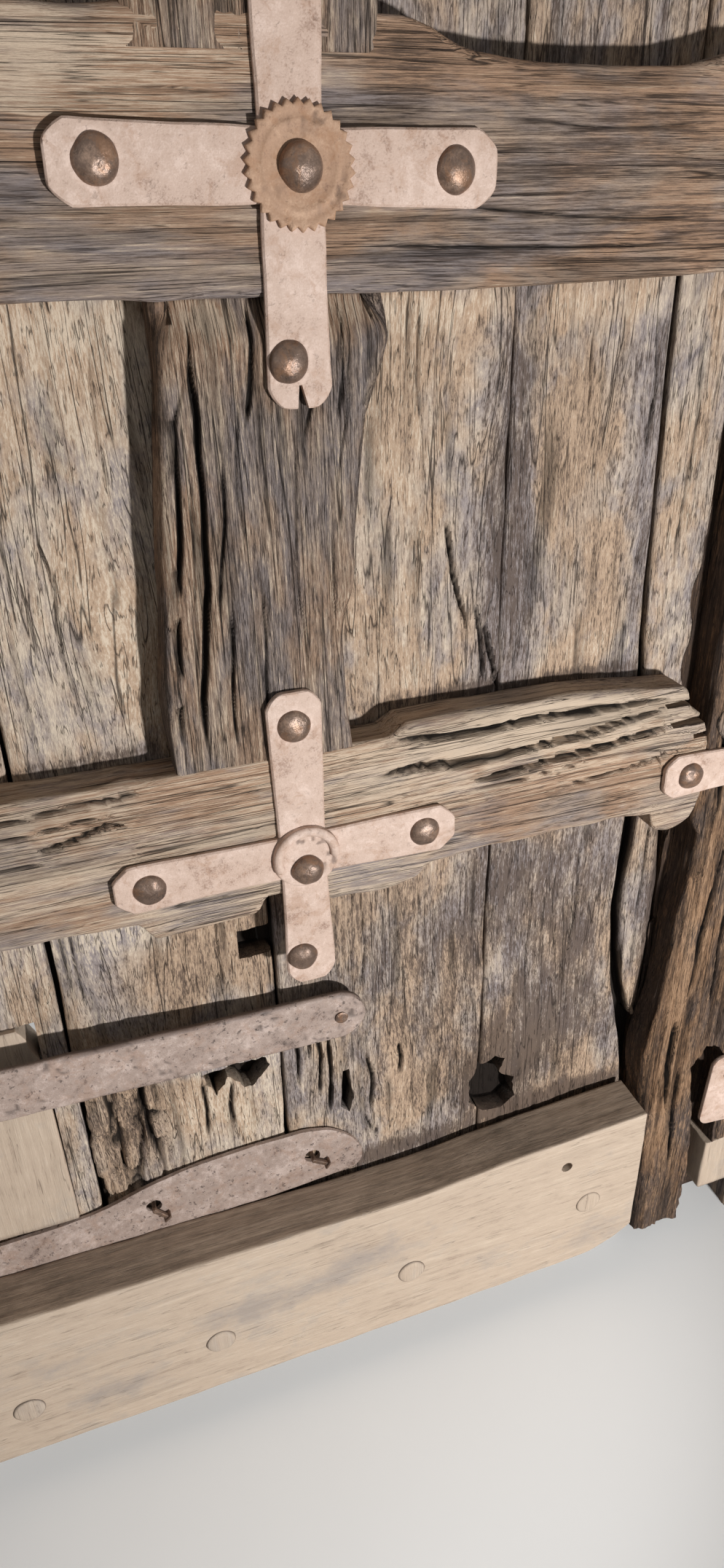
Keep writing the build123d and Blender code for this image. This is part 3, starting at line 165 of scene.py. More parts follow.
class Blank:
    """Points and faces gathered for one mesh."""

    def __init__(self):
        self.points, self.faces, self.count = [], [], 0

    def add(self, points, faces):
        self.points.append(np.asarray(points, float).reshape(-1, 3))
        self.faces += [np.asarray(face) + self.count for face in faces]
        self.count += len(self.points[-1])

    def tube(self, rings):
        """Closed skin through rings of points, with a flat face at each end."""
        stations, around, _ = rings.shape
        index = np.arange(stations * around).reshape(stations, around)
        beside = np.roll(index, -1, axis=1)
        quads = np.stack([index[:-1], beside[:-1], beside[1:], index[1:]], -1).reshape(-1, 4)
        ends = [index[0][::-1], index[-1]]
        points = rings.reshape(-1, 3)
        if volume(points, quads, ends) < 0:
            quads = quads[:, ::-1]
            ends = [end[::-1] for end in ends]
        self.add(points, list(quads) + ends)

    def loop(self, rings):
        """Closed skin through rings of points that come back to the first ring."""
        index = np.arange(rings.shape[0] * rings.shape[1]).reshape(rings.shape[:2])
        beside, on = np.roll(index, -1, 0), np.roll(index, -1, 1)
        quads = np.stack([index, on, np.roll(beside, -1, 1), beside], -1).reshape(-1, 4)
        points = rings.reshape(-1, 3)
        if volume(points, quads, []) < 0:
            quads = quads[:, ::-1]
        self.add(points, list(quads))

    def mesh(self, name):
        points = np.concatenate(self.points)
        sizes = np.array([len(face) for face in self.faces])
        mesh = bpy.data.meshes.new(name)
        mesh.vertices.add(len(points))
        mesh.vertices.foreach_set("co", points.astype(np.float32).ravel())
        mesh.loops.add(int(sizes.sum()))
        mesh.loops.foreach_set("vertex_index", np.concatenate(self.faces).astype(np.int32))
        mesh.polygons.add(len(sizes))
        mesh.polygons.foreach_set("loop_start", np.concatenate([[0], np.cumsum(sizes)[:-1]]).astype(np.int32))
        mesh.polygons.foreach_set("use_smooth", sizes == 4)
        mesh.update(calc_edges=True)
        return mesh


def volume(points, quads, ends):
    """Six times the volume inside, which is below nothing where the faces look inwards."""
    centre = points.mean(0)
    p = points - centre
    a, b, c, d = (p[quads[:, i]] for i in range(4))
    total = np.einsum("ij,ij->", a, np.cross(b, c)) + np.einsum("ij,ij->", a, np.cross(c, d))
    for end in ends:
        first, rest = p[end[0]], p[end[1:]]
        total += np.einsum("j,ij->", first, np.cross(rest[:-1], rest[1:]))
    return total


def write_attributes(mesh, grain, wear):
    """Where each point lies in the grain, and how hollow, grey and dark it is drawn; hollow and dark also carry painted
    shade.
    """
    for name, values in (("grain", grain), ("wear", wear)):
        layer = mesh.attributes.get(name) or mesh.attributes.new(name, "FLOAT_VECTOR", "POINT")
        layer.data.foreach_set("vector", np.ascontiguousarray(values, dtype=np.float32).ravel())


def coordinates(mesh):
    flat = np.zeros(len(mesh.vertices) * 3, np.float32)
    mesh.vertices.foreach_get("co", flat)
    return flat.reshape(-1, 3).astype(float)


def clusters(node, reach):
    """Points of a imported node, in groups that lie this near to one another as seen from the front."""
    points = coordinates(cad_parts[node].data)
    while len(points):
        near = np.hypot(points[:, 0] - points[0, 0], points[:, 2] - points[0, 2]) < reach
        yield points[near]
        points = points[~near]


def place_in_scene(mesh, name, material):
    piece = bpy.data.objects.new(name, mesh)
    bpy.context.scene.collection.objects.link(piece)
    mesh.materials.clear()
    mesh.materials.append(material)
    return piece


def hand_over(piece, body, slot, nodes):
    """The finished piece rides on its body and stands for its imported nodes."""
    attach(piece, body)
    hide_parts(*nodes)
    return piece


def shaped(piece, kind, **settings):
    """Apply one modifier to a piece."""
    modifier = piece.modifiers.new(kind.lower(), kind)
    for key, value in settings.items():
        setattr(modifier, key, value)
    view = bpy.context.evaluated_depsgraph_get()
    view.update()
    mesh = bpy.data.meshes.new_from_object(piece.evaluated_get(view), preserve_all_data_layers=True, depsgraph=view)
    piece.modifiers.clear()
    old = piece.data
    piece.data = mesh
    bpy.data.meshes.remove(old)
    return piece


def dropped(piece):
    """Take a piece and its mesh out of the scene."""
    mesh = piece.data
    bpy.data.objects.remove(piece)
    bpy.data.meshes.remove(mesh)


def cut(piece, cutter, operation="DIFFERENCE", keep=False):
    """Cut a piece with another or join the two, and drop the other unless it is to be kept."""
    shaped(piece, "BOOLEAN", operation=operation, solver="EXACT", object=cutter)
    if not keep:
        dropped(cutter)
    return piece


def joined(pieces):
    """Join meshes into the first piece."""
    if len(pieces) > 1:
        work = bmesh.new()
        for piece in pieces:
            work.from_mesh(piece.data)
        work.to_mesh(pieces[0].data)
        work.free()
        for piece in pieces[1:]:
            dropped(piece)
    return pieces[0]


def prism(points, y0, y1, material):
    """Upright prism through the door inside an outline of (x, z) points in millimetres."""
    outline = np.array(points, float) * MM
    rings = np.stack([np.column_stack([outline[:, 0], np.full(len(outline), y), outline[:, 1]]) for y in (y0, y1)])
    blank = Blank()
    blank.tube(rings)
    return place_in_scene(blank.mesh("cutter"), "cutter", material)


def ragged(points, amount, spacing, seed):
    """Outline with points added along its sides and knocked off line."""
    found = []
    for (x0, z0), (x1, z1) in zip(points, points[1:] + points[:1]):
        count = max(1, round(sqrt((x1 - x0) ** 2 + (z1 - z0) ** 2) / spacing))
        for t in np.arange(count) / count:
            x, z = x0 + t * (x1 - x0), z0 + t * (z1 - z0)
            shake = [float(noise(x / spacing, z / spacing, k * 9.7, seed)) for k in (1, 2)]
            found.append((x + amount * shake[0], z + amount * shake[1]))
    return found


# Wood

CRACK_SWAY, CRACK_WAVE = 0.0012, 0.045     # how far a crack wanders, and over what length
CRACK_TAPER = 6            # a crack narrows over one part in so many of its length at each end
BLACK_DEPTH = 0.0038       # depth from which a crack is painted all dark as shade
BACK_BEGINS = 0.031        # how far behind the face the clean back of a plank begins
TONE_DEPTH = 0.030         # how far behind the face a tone, a stain or painted shade, reaches
PEG_RIM = (0.0018, 0.0012)                 # width and depth of the gap round a peg
# Marks of the grain: their size across it and along it, and their seed
FINE, DEEP, BROAD = (0.0038, 0.032, 1), (0.0075, 0.085, 2), (0.019, 0.15, 7)
LUMP, FLAKE = (0.021, 0.030, 21), (0.0075, 0.022, 22)
PATCHY, SWELL = (0.06, 0.11, 4), (0.055, 0.19, 3)


@dataclass
class Run:
    """One stretch of a timber: the corners of its section, as (line, y), and the two lines at which it ends."""
    corners: list
    lo: Callable
    hi: Callable
    stations: np.ndarray
    steps: list
    worn: float = 0.004


@dataclass
class Timber:
    """A piece of wood: which way it runs, how its grain goes, what age has done to its faces and the shade painted on
    them.
    """
    name: str
    way: str = "up"
    side: int = 1
    seed: int = 1
    face: float = TIMBER_FACE
    ridge: float = 0.00045     # fine ridges between the soft bands of the grain
    groove: float = 0.0020     # deeper furrows
    roll: float = 0.0014       # broad swells
    scallop: float = 0.0       # hollows left by the adze
    wave: float = 0.004        # how far the grain wanders
    shade: float = 0.0         # darker or lighter than others of its wood
    grey: float = 0.0
    length: float = 1.0        # how long the furrows are
    joint_shade_depth: float = 0.0        # how far behind its face the shade painted on the sides of joints and holes begins
    side_shade: float = 0.0          # shade painted on the sides, which makes them darker than the face
    tucked: tuple = ()         # stretch along the piece over which its face sinks, and how far
    decay: list = field(default_factory=list)
    knots: list = field(default_factory=list)
    cracks: list = field(default_factory=list)
    pegs: list = field(default_factory=list)
    tones: list = field(default_factory=list)

    def place(self, a, y, s):
        """Points in space at a distance across the grain, a level through the door and a distance along."""
        if self.way == "up":
            return np.stack([self.side * a, y, s], -1)
        if self.way == "across":
            return np.stack([s, y, a], -1)
        turn = s / ARCH_R
        return np.stack([self.side * a * np.cos(turn), y, SPRING + a * np.sin(turn)], -1)

    def locate(self, p):
        x, y, z = p.T
        if self.way == "up":
            return self.side * x, y, z
        if self.way == "across":
            return z, y, x
        return np.hypot(x, z - SPRING), y, ARCH_R * np.arctan2(z - SPRING, self.side * x)

    def warped(self, a, y, s):
        """Distance across as the grain counts it: lines of the grain wander and go round knots."""
        g = a + self.wave * noise(a / 0.11, y / 0.11, s / 0.30, self.seed)
        for x, z, radius in self.knots:
            ka, ks = (x * MM, z * MM) if self.way == "up" else (z * MM, x * MM)
            da, ds, r0 = a - ka, (s - ks) / 1.9, radius * MM
            r2 = da**2 + ds**2
            g = g - da * r0**2 / (r2 + 1.5 * r0**2)
        return g

    def cracked(self, a, s, in_front):
        """Depth of the cracks that run along the grain of the front face."""
        depth = np.zeros(a.shape)
        for points, width, deep in self.cracks:
            line = np.array(points, float) * MM
            along, across = (line[:, 1], line[:, 0]) if self.way == "up" else (line[:, 0], line[:, 1])
            order = np.argsort(along)
            along, across = along[order], across[order]
            width, deep = width * MM, deep * MM
            near = in_front & (s > along[0]) & (s < along[-1])
            near &= (a > across.min() - 3 * width) & (a < across.max() + 3 * width)
            where = np.nonzero(near)
            if not len(where[0]):
                continue
            here, t = s[where], (s[where] - along[0]) / (along[-1] - along[0])
            middle = np.interp(here, along, across) + CRACK_SWAY * noise(here / CRACK_WAVE, 0.0, 3.0, self.seed)
            taper = np.clip(CRACK_TAPER * t, 0, 1) * np.clip(CRACK_TAPER * (1 - t), 0, 1)
            half = width * (0.30 + 0.70 * taper) * (0.95 + 0.22 * noise(here / CRACK_WAVE, 5.0, 0.0, self.seed))
            inside = np.clip(1 - np.abs(a[where] - middle) / half, 0, 1)
            depth[where] = np.maximum(depth[where], deep * taper * inside**0.7)
        return depth

    def decayed(self, x, z, in_front):
        """Lumps with creases between them where the wood has rotted, and how deep in a crease each point is, for the
        shade painted in the creases.
        """
        height, crease = np.zeros(x.shape), np.zeros(x.shape)
        for px, pz, rx, rz, amount in self.decay:
            far = ((x / MM - px) / rx) ** 2 + ((z / MM - pz) / rz) ** 2
            weight = np.clip(1.6 - 1.3 * far, 0, 1) * in_front
            bent = 0.5 * noise(x / 0.03, 0.0, z / 0.03, 23)
            lump = np.abs(noise(x / LUMP[0] + bent, 0.0, z / LUMP[1], LUMP[2]))
            flake = np.abs(noise(x / FLAKE[0], 0.0, z / FLAKE[1], FLAKE[2]))
            height += weight * amount * MM * (1.9 * np.minimum(lump, 0.45) + 0.5 * np.minimum(flake, 0.4) - 0.95)
            crease += weight * np.clip(1 - lump / 0.10, 0, 1) * 0.9 + weight * np.clip(1 - flake / 0.10, 0, 1) * 0.35
        return height, crease

    def surface(self, a, y, s):
        """How far the worn surface stands out, and how hollow, grey and dark it is drawn, with painted shade in its
        hollows, joints and sides.
        """
        g, k, along = self.warped(a, y, s), self.seed * 7.3, s / self.length

        def marks(across, length, kind):
            size, reach, seed = kind
            return noise(across / size, y / size, length / reach + k, seed)

        fine, deep, broad = (marks(g, along, kind) for kind in (FINE, DEEP, BROAD))
        patchy = np.clip(0.75 + marks(a, s, PATCHY), 0.1, 1.7)
        furrow = np.clip(deep - 0.22, 0, None) * patchy
        height = self.roll * (marks(a, s, SWELL) + 0.5 * broad)
        height += self.ridge * fine * (0.5 + 0.5 * patchy) - self.groove * furrow
        # Painted shade in the furrows and below the fine ridges.
        hollow = np.clip(furrow * 0.9, 0, 0.6) * min(1.0, self.groove / 0.002) + np.clip(-fine - 0.45, 0, 1) * 0.25
        if self.scallop:
            facet = np.abs(noise(a / 0.043 + 0.4 * noise(a / 0.1, 0.0, s / 0.1, 6), y / 0.1, s / 0.075 + k, 5))
            height += self.scallop * (0.25 - facet)
        in_front = y < self.face + FRONT_DEPTH
        crack = self.cracked(a, s, in_front)
        height -= crack
        # Painted shade in the cracks, all dark from BLACK_DEPTH down.
        hollow += np.clip(crack / BLACK_DEPTH, 0, 1) ** 1.2
        grey, dark = np.full(a.shape, self.grey), np.full(a.shape, self.shade)
        x, _, z = np.moveaxis(self.place(a, y, s), -1, 0)
        if self.decay:
            lumps, crease = self.decayed(x, z, in_front)
            height += lumps
            # Painted shade in the creases of the rot.
            hollow += crease
        # Painted shade: the sides of joints and holes are darkened from this depth back to the clean back of the plank.
        if self.joint_shade_depth:
            below = y - self.face
            hollow += np.clip((below - self.joint_shade_depth) / 0.006, 0, 1) * np.clip((BACK_BEGINS - below) / 0.003, 0, 1)
        # Painted shade: every face behind the front is darkened as if it were out of the light.
        if self.side_shade:
            dark += self.side_shade * np.clip((y - self.face - 0.0015) / 0.003, 0, 1)
        if self.tucked:
            start, stop, sink = self.tucked
            t = np.clip((s - start) / (stop - start), 0, 1)
            height -= sink * t * t * (3 - 2 * t) * in_front
        for px, pz, radius in self.pegs:
            rim = np.abs(np.hypot(x - px * MM, z - pz * MM) - radius * MM)
            ring = np.clip(1 - rim / PEG_RIM[0], 0, 1) * in_front
            height -= PEG_RIM[1] * ring
            # Painted shade in the gap round a peg.
            hollow += 0.8 * ring
        # Tones are stains and changes of colour, except the few in AGEING that are painted shade.
        for px, pz, rx, rz, more_grey, more_dark in self.tones:
            far = ((x / MM - px) / rx) ** 2 + ((z / MM - pz) / rz) ** 2
            weight = np.exp(-far * (1 + 0.5 * noise(x / 0.02, 0.0, z / 0.05, 8))) * (y < self.face + TONE_DEPTH)
            grey += more_grey * weight
            dark += more_dark * weight
        return height, np.stack([np.clip(hollow, 0, 1), grey, dark], -1)

    def grain_of(self, a, y, s):
        shift = self.seed * 1.37
        return np.stack([self.warped(a, y, s) + shift, y, s + shift], -1)

    def section(self, run):
        """Points round the section at every station, with worn corners, and the places between the two ends."""
        count, stations = len(run.corners), run.stations
        levels = np.array([y for _, y in run.corners])
        across = np.stack([line(np.full(len(stations), 0.5)) for line, _ in run.corners], 1)
        for _ in range(5):
            along = run.lo(across) + stations[:, None] * (run.hi(across) - run.lo(across))
            across = np.stack([line(along[:, k]) for k, (line, _) in enumerate(run.corners)], 1)
        corner = np.stack([across, np.broadcast_to(levels, across.shape)], -1)

        def worn_at(k):
            return (run.worn * (1 + 0.7 * noise(along[:, k] / 0.035, k * 3.7, self.seed * 1.1, 9)))[:, None]

        def towards(start, goal):
            return (goal - start) / np.linalg.norm(goal - start, axis=1, keepdims=True)

        rows = []
        for k in range(count):
            following = (k + 1) % count
            here, before, after = corner[:, k], corner[:, k - 1], corner[:, following]
            first = here + towards(here, before) * worn_at(k)
            last = here + towards(here, after) * worn_at(k)
            for t in (0.0, 0.33, 0.67, 1.0):
                rows.append(first * (1 - t) ** 2 + here * 2 * t * (1 - t) + last * t**2)
            stop = after + towards(after, here) * worn_at(following)
            for t in np.arange(1, run.steps[k]) / run.steps[k]:
                rows.append(last * (1 - t) + stop * t)
        ring = np.stack(rows, 1)
        return ring[..., 0], ring[..., 1]

    def rings(self, run):
        a, y = self.section(run)
        s = run.lo(a) + run.stations[:, None] * (run.hi(a) - run.lo(a))
        da = np.roll(a, -1, 1) - np.roll(a, 1, 1)
        dy = np.roll(y, -1, 1) - np.roll(y, 1, 1)
        length = np.hypot(da, dy) + 1e-12
        height, wear = self.surface(a, y, s)
        grain = self.grain_of(a, y, s)
        return self.place(a + height * dy / length, y - height * da / length, s), grain, wear

    def build(self, runs, material, cutters=()):
        """One piece from its runs, each cut on its own by every cutter."""
        pieces = []
        for run in runs:
            blank = Blank()
            points, grain, wear = self.rings(run)
            blank.tube(points)
            mesh = blank.mesh(self.name)
            write_attributes(mesh, grain.reshape(-1, 3), wear.reshape(-1, 3))
            piece = place_in_scene(mesh, self.name, material)
            for cutter in cutters:
                cut(piece, cutter, keep=True)
            pieces.append(piece)
        for cutter in cutters:
            dropped(cutter)
        piece = joined(pieces)
        if cutters:
            a, y, s = self.locate(coordinates(piece.data))
            _, wear = self.surface(a, y, s)
            write_attributes(piece.data, self.grain_of(a, y, s), wear)
            piece.data.set_sharp_from_angle(angle=radians(55))
        return piece


def block(a0, a1, y0, y1, lo, hi, stations, fine=0.0017, rough=0.004, worn=0.004):
    """Run with a four-sided section, finely divided on its front."""
    left, right = (line if callable(line) else constant(line) for line in (a0, a1))
    lo, hi = (line if callable(line) else constant(line) for line in (lo, hi))
    width = float(np.mean(right(np.array([0.5])) - left(np.array([0.5]))))
    steps = [max(2, round(width / fine)), max(2, round((y1 - y0) / rough)),
             max(2, round(width / (2 * rough))), max(2, round((y1 - y0) / rough))]
    return Run([(left, y0), (right, y0), (right, y1), (left, y1)], lo, hi, stations, steps, worn)


def put_up(timber, runs, finish, body, slot, ending, cutters=()):
    """Build a timber and hand it over under its own name with this ending."""
    hand_over(timber.build(runs, finish, cutters), body, slot, [timber.name]).name = timber.name + ending


# What age has done to each timber, and the shade painted on it. Places are (x, z) in millimetres on the face of the
# door: knots are (x, z, radius), cracks are (points, half width, depth), decay is (x, z, reach across, reach up, depth)
# and tones are (x, z, reach across, reach up, greyer, darker). Among the tones, the narrow dark bands just above the
# bottom board and along the top of the lower rail, and the dark strip at the right edge of plank_e, are painted shade.

AGEING = {
    "plank_a": dict(wave=0.007, joint_shade_depth=0.006,
        tones=[(-320, 640, 110, 34, 0.6, -0.5)]),
    "plank_b": dict(shade=-0.25, wave=0.01, joint_shade_depth=0.006,
        knots=[(-132, 925, 26), (-165, 640, 22)],
        cracks=[([(-176, 1010), (-168, 960), (-172, 905), (-163, 850)], 1.6, 3),
                ([(-118, 1120), (-122, 1060), (-119, 1010)], 1.2, 2),
                ([(-205, 660), (-207, 600), (-204, 560)], 1.6, 4), ([(-78, 650), (-80, 600), (-78, 540)], 1.2, 3),
                ([(-168, 470), (-172, 430), (-170, 400), (-166, 352)], 3.4, 12),
                ([(-112, 440), (-110, 400), (-113, 360)], 2.2, 7), ([(-82, 430), (-86, 395), (-84, 362)], 2.2, 7),
                ([(-206, 470), (-203, 430), (-207, 396)], 2.0, 6)],
        decay=[(-205, 385, 60, 100, 15)],
        tones=[(-165, 640, 66, 24, 0.9, -0.7), (-100, 590, 80, 50, -1.0, 0.25), (-195, 400, 50, 90, -0.9, 0.9),
               (-130, 570, 90, 120, 0.1, 0.5), (-95, 455, 44, 9, 1.2, -0.3), (-95, 395, 46, 36, -1.2, -0.3),
               # The tones at z 262 and 812 are painted shade: narrow dark bands above the bottom board and the lower
               # rail.
               (-44, 600, 16, 60, -0.6, 0.5), (-130, 262, 110, 14, 0.0, 1.6), (-160, 812, 90, 6, 0.0, 1.4),
               (-130, 1125, 90, 14, -0.4, -0.5)]),
    "plank_c": dict(shade=0.18, wave=0.009, joint_shade_depth=0.006,
        knots=[(168, 1090, 24), (90, 395, 14)],
        cracks=[([(143, 974), (146, 950), (151, 921), (166, 874)], 2.6, 9),
                ([(180, 879), (189, 845), (200, 810)], 2.6, 9), ([(172, 900), (178, 860), (183, 822)], 2.0, 7),
                ([(60, 640), (64, 560), (58, 500)], 1.2, 3), ([(8, 480), (14, 430), (10, 372)], 2.6, 9),
                ([(-14, 470), (-10, 440), (-12, 400)], 2.2, 9), ([(0, 470), (2, 450), (1, 428)], 1.8, 6),
                ([(62, 420), (70, 380), (66, 330)], 2.6, 8), ([(22, 460), (24, 400), (20, 340)], 2.6, 9),
                ([(100, 420), (104, 396), (100, 372)], 3.0, 8), ([(58, 330), (66, 306), (80, 288)], 2.0, 6),
                ([(120, 1130), (118, 1080), (122, 1040)], 1.2, 3)],
        tones=[(196, 960, 24, 200, 1.0, 0.75), (190, 620, 22, 110, 0.6, 0.5), (100, 1010, 46, 90, -0.3, -0.35),
               (215, 330, 50, 60, -0.6, 1.3), (-10, 655, 46, 30, -0.6, 0.9), (70, 560, 70, 110, 0.2, 0.35),
               (110, 1400, 110, 100, 0.3, 0.5), (150, 470, 60, 120, 0.0, 0.5), (30, 400, 40, 60, -0.3, 0.1),
               # The tones at z 264 and 819 are painted shade above the bottom board and the lower rail.
               (80, 264, 120, 14, 0.0, 1.6), (140, 819, 70, 6, 0.0, 1.4), (140, 1125, 90, 14, -0.5, -0.6),
               (110, 830, 40, 30, -0.4, -0.4)]),
    "plank_d": dict(shade=0.22, wave=0.007, joint_shade_depth=0.006,
        knots=[(301, 1006, 16)],
        cracks=[([(322, 1120), (330, 1060), (326, 1000)], 1.6, 5), ([(300, 640), (304, 560), (298, 480)], 1.4, 4),
                ([(250, 600), (246, 500), (252, 420)], 1.2, 3), ([(268, 1130), (266, 1080), (270, 1030)], 1.2, 3)],
        tones=[(206, 980, 18, 200, 1.0, 0.7), (214, 620, 20, 120, 0.6, 0.45), (332, 900, 16, 200, 0.9, 0.25),
               (215, 330, 50, 60, -0.6, 1.3), (265, 1000, 30, 110, -0.6, 0.1), (280, 560, 80, 130, 0.3, 0.55),
               # The tones at z 274 and 815 are painted shade above the bottom board and the lower rail.
               (280, 1400, 110, 100, 0.3, 0.5), (290, 400, 70, 90, 0.0, 0.8), (300, 274, 110, 14, 0.0, 1.6),
               (280, 815, 100, 6, 0.0, 1.4), (280, 1125, 90, 14, -0.5, -0.6), (300, 840, 60, 22, -0.3, -0.4)]),
    "plank_e": dict(wave=0.004, joint_shade_depth=0.005,
        cracks=[([(372, 1110), (374, 1000), (370, 900)], 2.0, 6), ([(382, 640), (384, 560), (380, 500)], 1.8, 5)],
        # The tone at x 403 is painted shade: a dark strip at the right edge, against the stile.
        tones=[(380, 560, 30, 120, 0.3, 0.4), (403, 560, 10, 260, 0.0, 2.5)]),
    "rail_lower": dict(scallop=0.0022, wave=0.007, shade=-0.46, groove=0.0009, length=2.2,
        cracks=[([(60, 770), (105, 772), (165, 767), (265, 772), (360, 785)], 4.2, 15),
                ([(150, 745), (205, 750), (285, 756), (366, 765)], 3.6, 13),
                ([(70, 801), (90, 800), (160, 796), (250, 797), (360, 793)], 3.6, 12),
                ([(-330, 770), (-240, 776), (-150, 781)], 1.8, 5),
                ([(-390, 740), (-300, 745), (-200, 752)], 1.6, 4), ([(-150, 700), (-90, 698), (-60, 702)], 1.6, 4),
                ([(240, 722), (310, 726), (380, 738)], 1.8, 5), ([(-260, 790), (-190, 793), (-120, 795)], 2.0, 6),
                ([(-220, 760), (-185, 764), (-160, 772), (-140, 766)], 2.6, 8),
                ([(120, 736), (200, 738), (280, 745)], 1.4, 4)],
        tones=[(-95, 672, 60, 16, 1.0, 0.2), (62, 670, 46, 16, 0.9, 0.1), (-100, 780, 110, 25, 0.0, 0.35),
               (-270, 690, 130, 20, 0.1, 0.5), (250, 700, 150, 30, 0.0, 0.8), (220, 785, 140, 22, 0.0, -0.9),
               (150, 740, 60, 30, 0.35, 0.0)]),
    "rail_middle": dict(scallop=0.0046, wave=0.008, shade=0.14, groove=0.0012, length=2.0,
        cracks=[([(120, 1190), (220, 1184), (330, 1180)], 1.8, 5), ([(60, 1168), (160, 1165), (300, 1166)], 1.8, 5),
                ([(-300, 1190), (-220, 1186), (-140, 1188)], 1.4, 4),
                ([(-120, 1250), (-60, 1254), (-20, 1251)], 1.4, 3),
                ([(150, 1240), (240, 1236), (330, 1238)], 1.6, 4)],
        tones=[(-170, 1265, 140, 24, -0.3, -0.95), (-180, 1175, 120, 20, 0.7, 0.1), (90, 1270, 30, 25, 0.0, 0.6),
               (250, 1215, 150, 40, 0.0, 0.45), (230, 1165, 160, 24, 0.0, 0.15)]),
    "rail_upper": dict(scallop=0.003, shade=0.1,
        cracks=[([(-300, 1590), (-200, 1586), (-100, 1590)], 2.4, 6),
                ([(60, 1640), (180, 1634), (300, 1638)], 2.4, 6)]),
    "muntin_lower": dict(groove=0.0022, wave=0.005, shade=0.12, grey=0.15, length=1.3, side_shade=0.7,
        tucked=(1.112, 1.1425, 0.015),
        cracks=[([(-50, 1140), (-59, 1124), (-61, 1094), (-59, 1073), (-58, 1020), (-60, 985), (-61, 952),
                (-69, 909), (-74, 864), (-76, 806)], 2.7, 9), ([(-64, 1098), (-70, 1080), (-75, 1066), (-74, 1049),
                (-75, 1022), (-78, 983), (-84, 946), (-89, 912), (-92, 867), (-95, 820)], 2.5, 8),
                ([(-67, 1040), (-68, 990), (-73, 930), (-80, 870)], 1.5, 2.4),
                ([(-17, 1140), (-18, 1110), (-21, 1084), (-26, 1060)], 2.4, 6),
                ([(22, 1138), (26, 1112), (28, 1096), (22, 1072), (16, 1048)], 1.8, 4),
                ([(50, 1139), (45, 1112), (46, 1090), (40, 1056)], 1.7, 3.4),
                ([(-42, 1046), (-44, 999), (-51, 958), (-55, 925)], 1.7, 4.4),
                ([(-30, 1085), (-34, 1020), (-30, 980)], 1.4, 3), ([(12, 1060), (6, 960), (10, 860)], 1.2, 3),
                ([(36, 1000), (34, 900), (38, 830)], 1.2, 3), ([(-20, 960), (-24, 880), (-22, 812)], 1.4, 4),
                ([(-46, 940), (-50, 880), (-52, 815)], 1.6, 5), ([(50, 1110), (48, 1060), (40, 1010)], 1.2, 3)],
        tones=[(-67, 1010, 5, 80, -0.6, -0.7), (-88, 1010, 6, 90, -0.8, -0.9), (-20, 1100, 60, 30, 0.0, 0.15),
               (-79, 1068, 8, 6, 0.0, 0.9), (-45, 975, 12, 70, 0.3, 0.0), (-40, 1126, 12, 8, 0.0, -0.6),
               (60, 1090, 22, 40, 0.4, 0.25), (52, 1132, 30, 10, -0.6, -0.9), (-28, 1115, 9, 22, -0.6, -0.7),
               (-44, 1130, 24, 9, -0.6, -0.9), (0, 1000, 50, 100, 0.5, 0.15)]),
    "muntin_middle": dict(shade=0.1),
    "muntin_top": dict(shade=0.1),
    "stile_left": dict(ridge=0.0005, shade=0.1, wave=0.005, length=2.2),
    "stile_right": dict(groove=0.0055, ridge=0.0011, shade=0.1, wave=0.008, length=2.2, roll=0.0026, side_shade=0.9,
        cracks=[([(430, 900), (424, 760), (432, 640)], 3.5, 9), ([(450, 620), (440, 500), (436, 400)], 3.2, 9),
                ([(425, 380), (428, 300), (434, 230)], 3.2, 9), ([(470, 560), (466, 470), (472, 380)], 2.6, 7),
                ([(445, 300), (448, 200), (452, 120)], 3.0, 8), ([(505, 900), (510, 760), (504, 600)], 2.4, 6)],
        tones=[(430, 250, 30, 110, 0.0, -0.9), (425, 480, 14, 120, 0.0, -0.5), (440, 1000, 50, 160, 0.3, -0.4)]),
    "bottom_board": dict(ridge=0.00018, groove=0.0004, roll=0.0006, side_shade=0.85, length=2.0, wave=0.006,
        cracks=[([(100, 140), (125, 138), (150, 141)], 1.0, 2), ([(-320, 128), (-300, 131), (-280, 129)], 1.0, 2)],
        tones=[(40, 190, 60, 26, 0.9, 0.0), (-10, 160, 50, 20, 0.5, 0.0), (-120, 165, 46, 16, 0.7, 0.0),
               (-250, 105, 70, 26, 0.7, 0.0), (340, 90, 50, 26, 0.6, 0.0), (180, 110, 50, 20, 0.3, 0.0),
               (-320, 175, 60, 22, 0.5, 0.0), (250, 190, 50, 40, -0.5, 0.0)]),
}


# Shaders

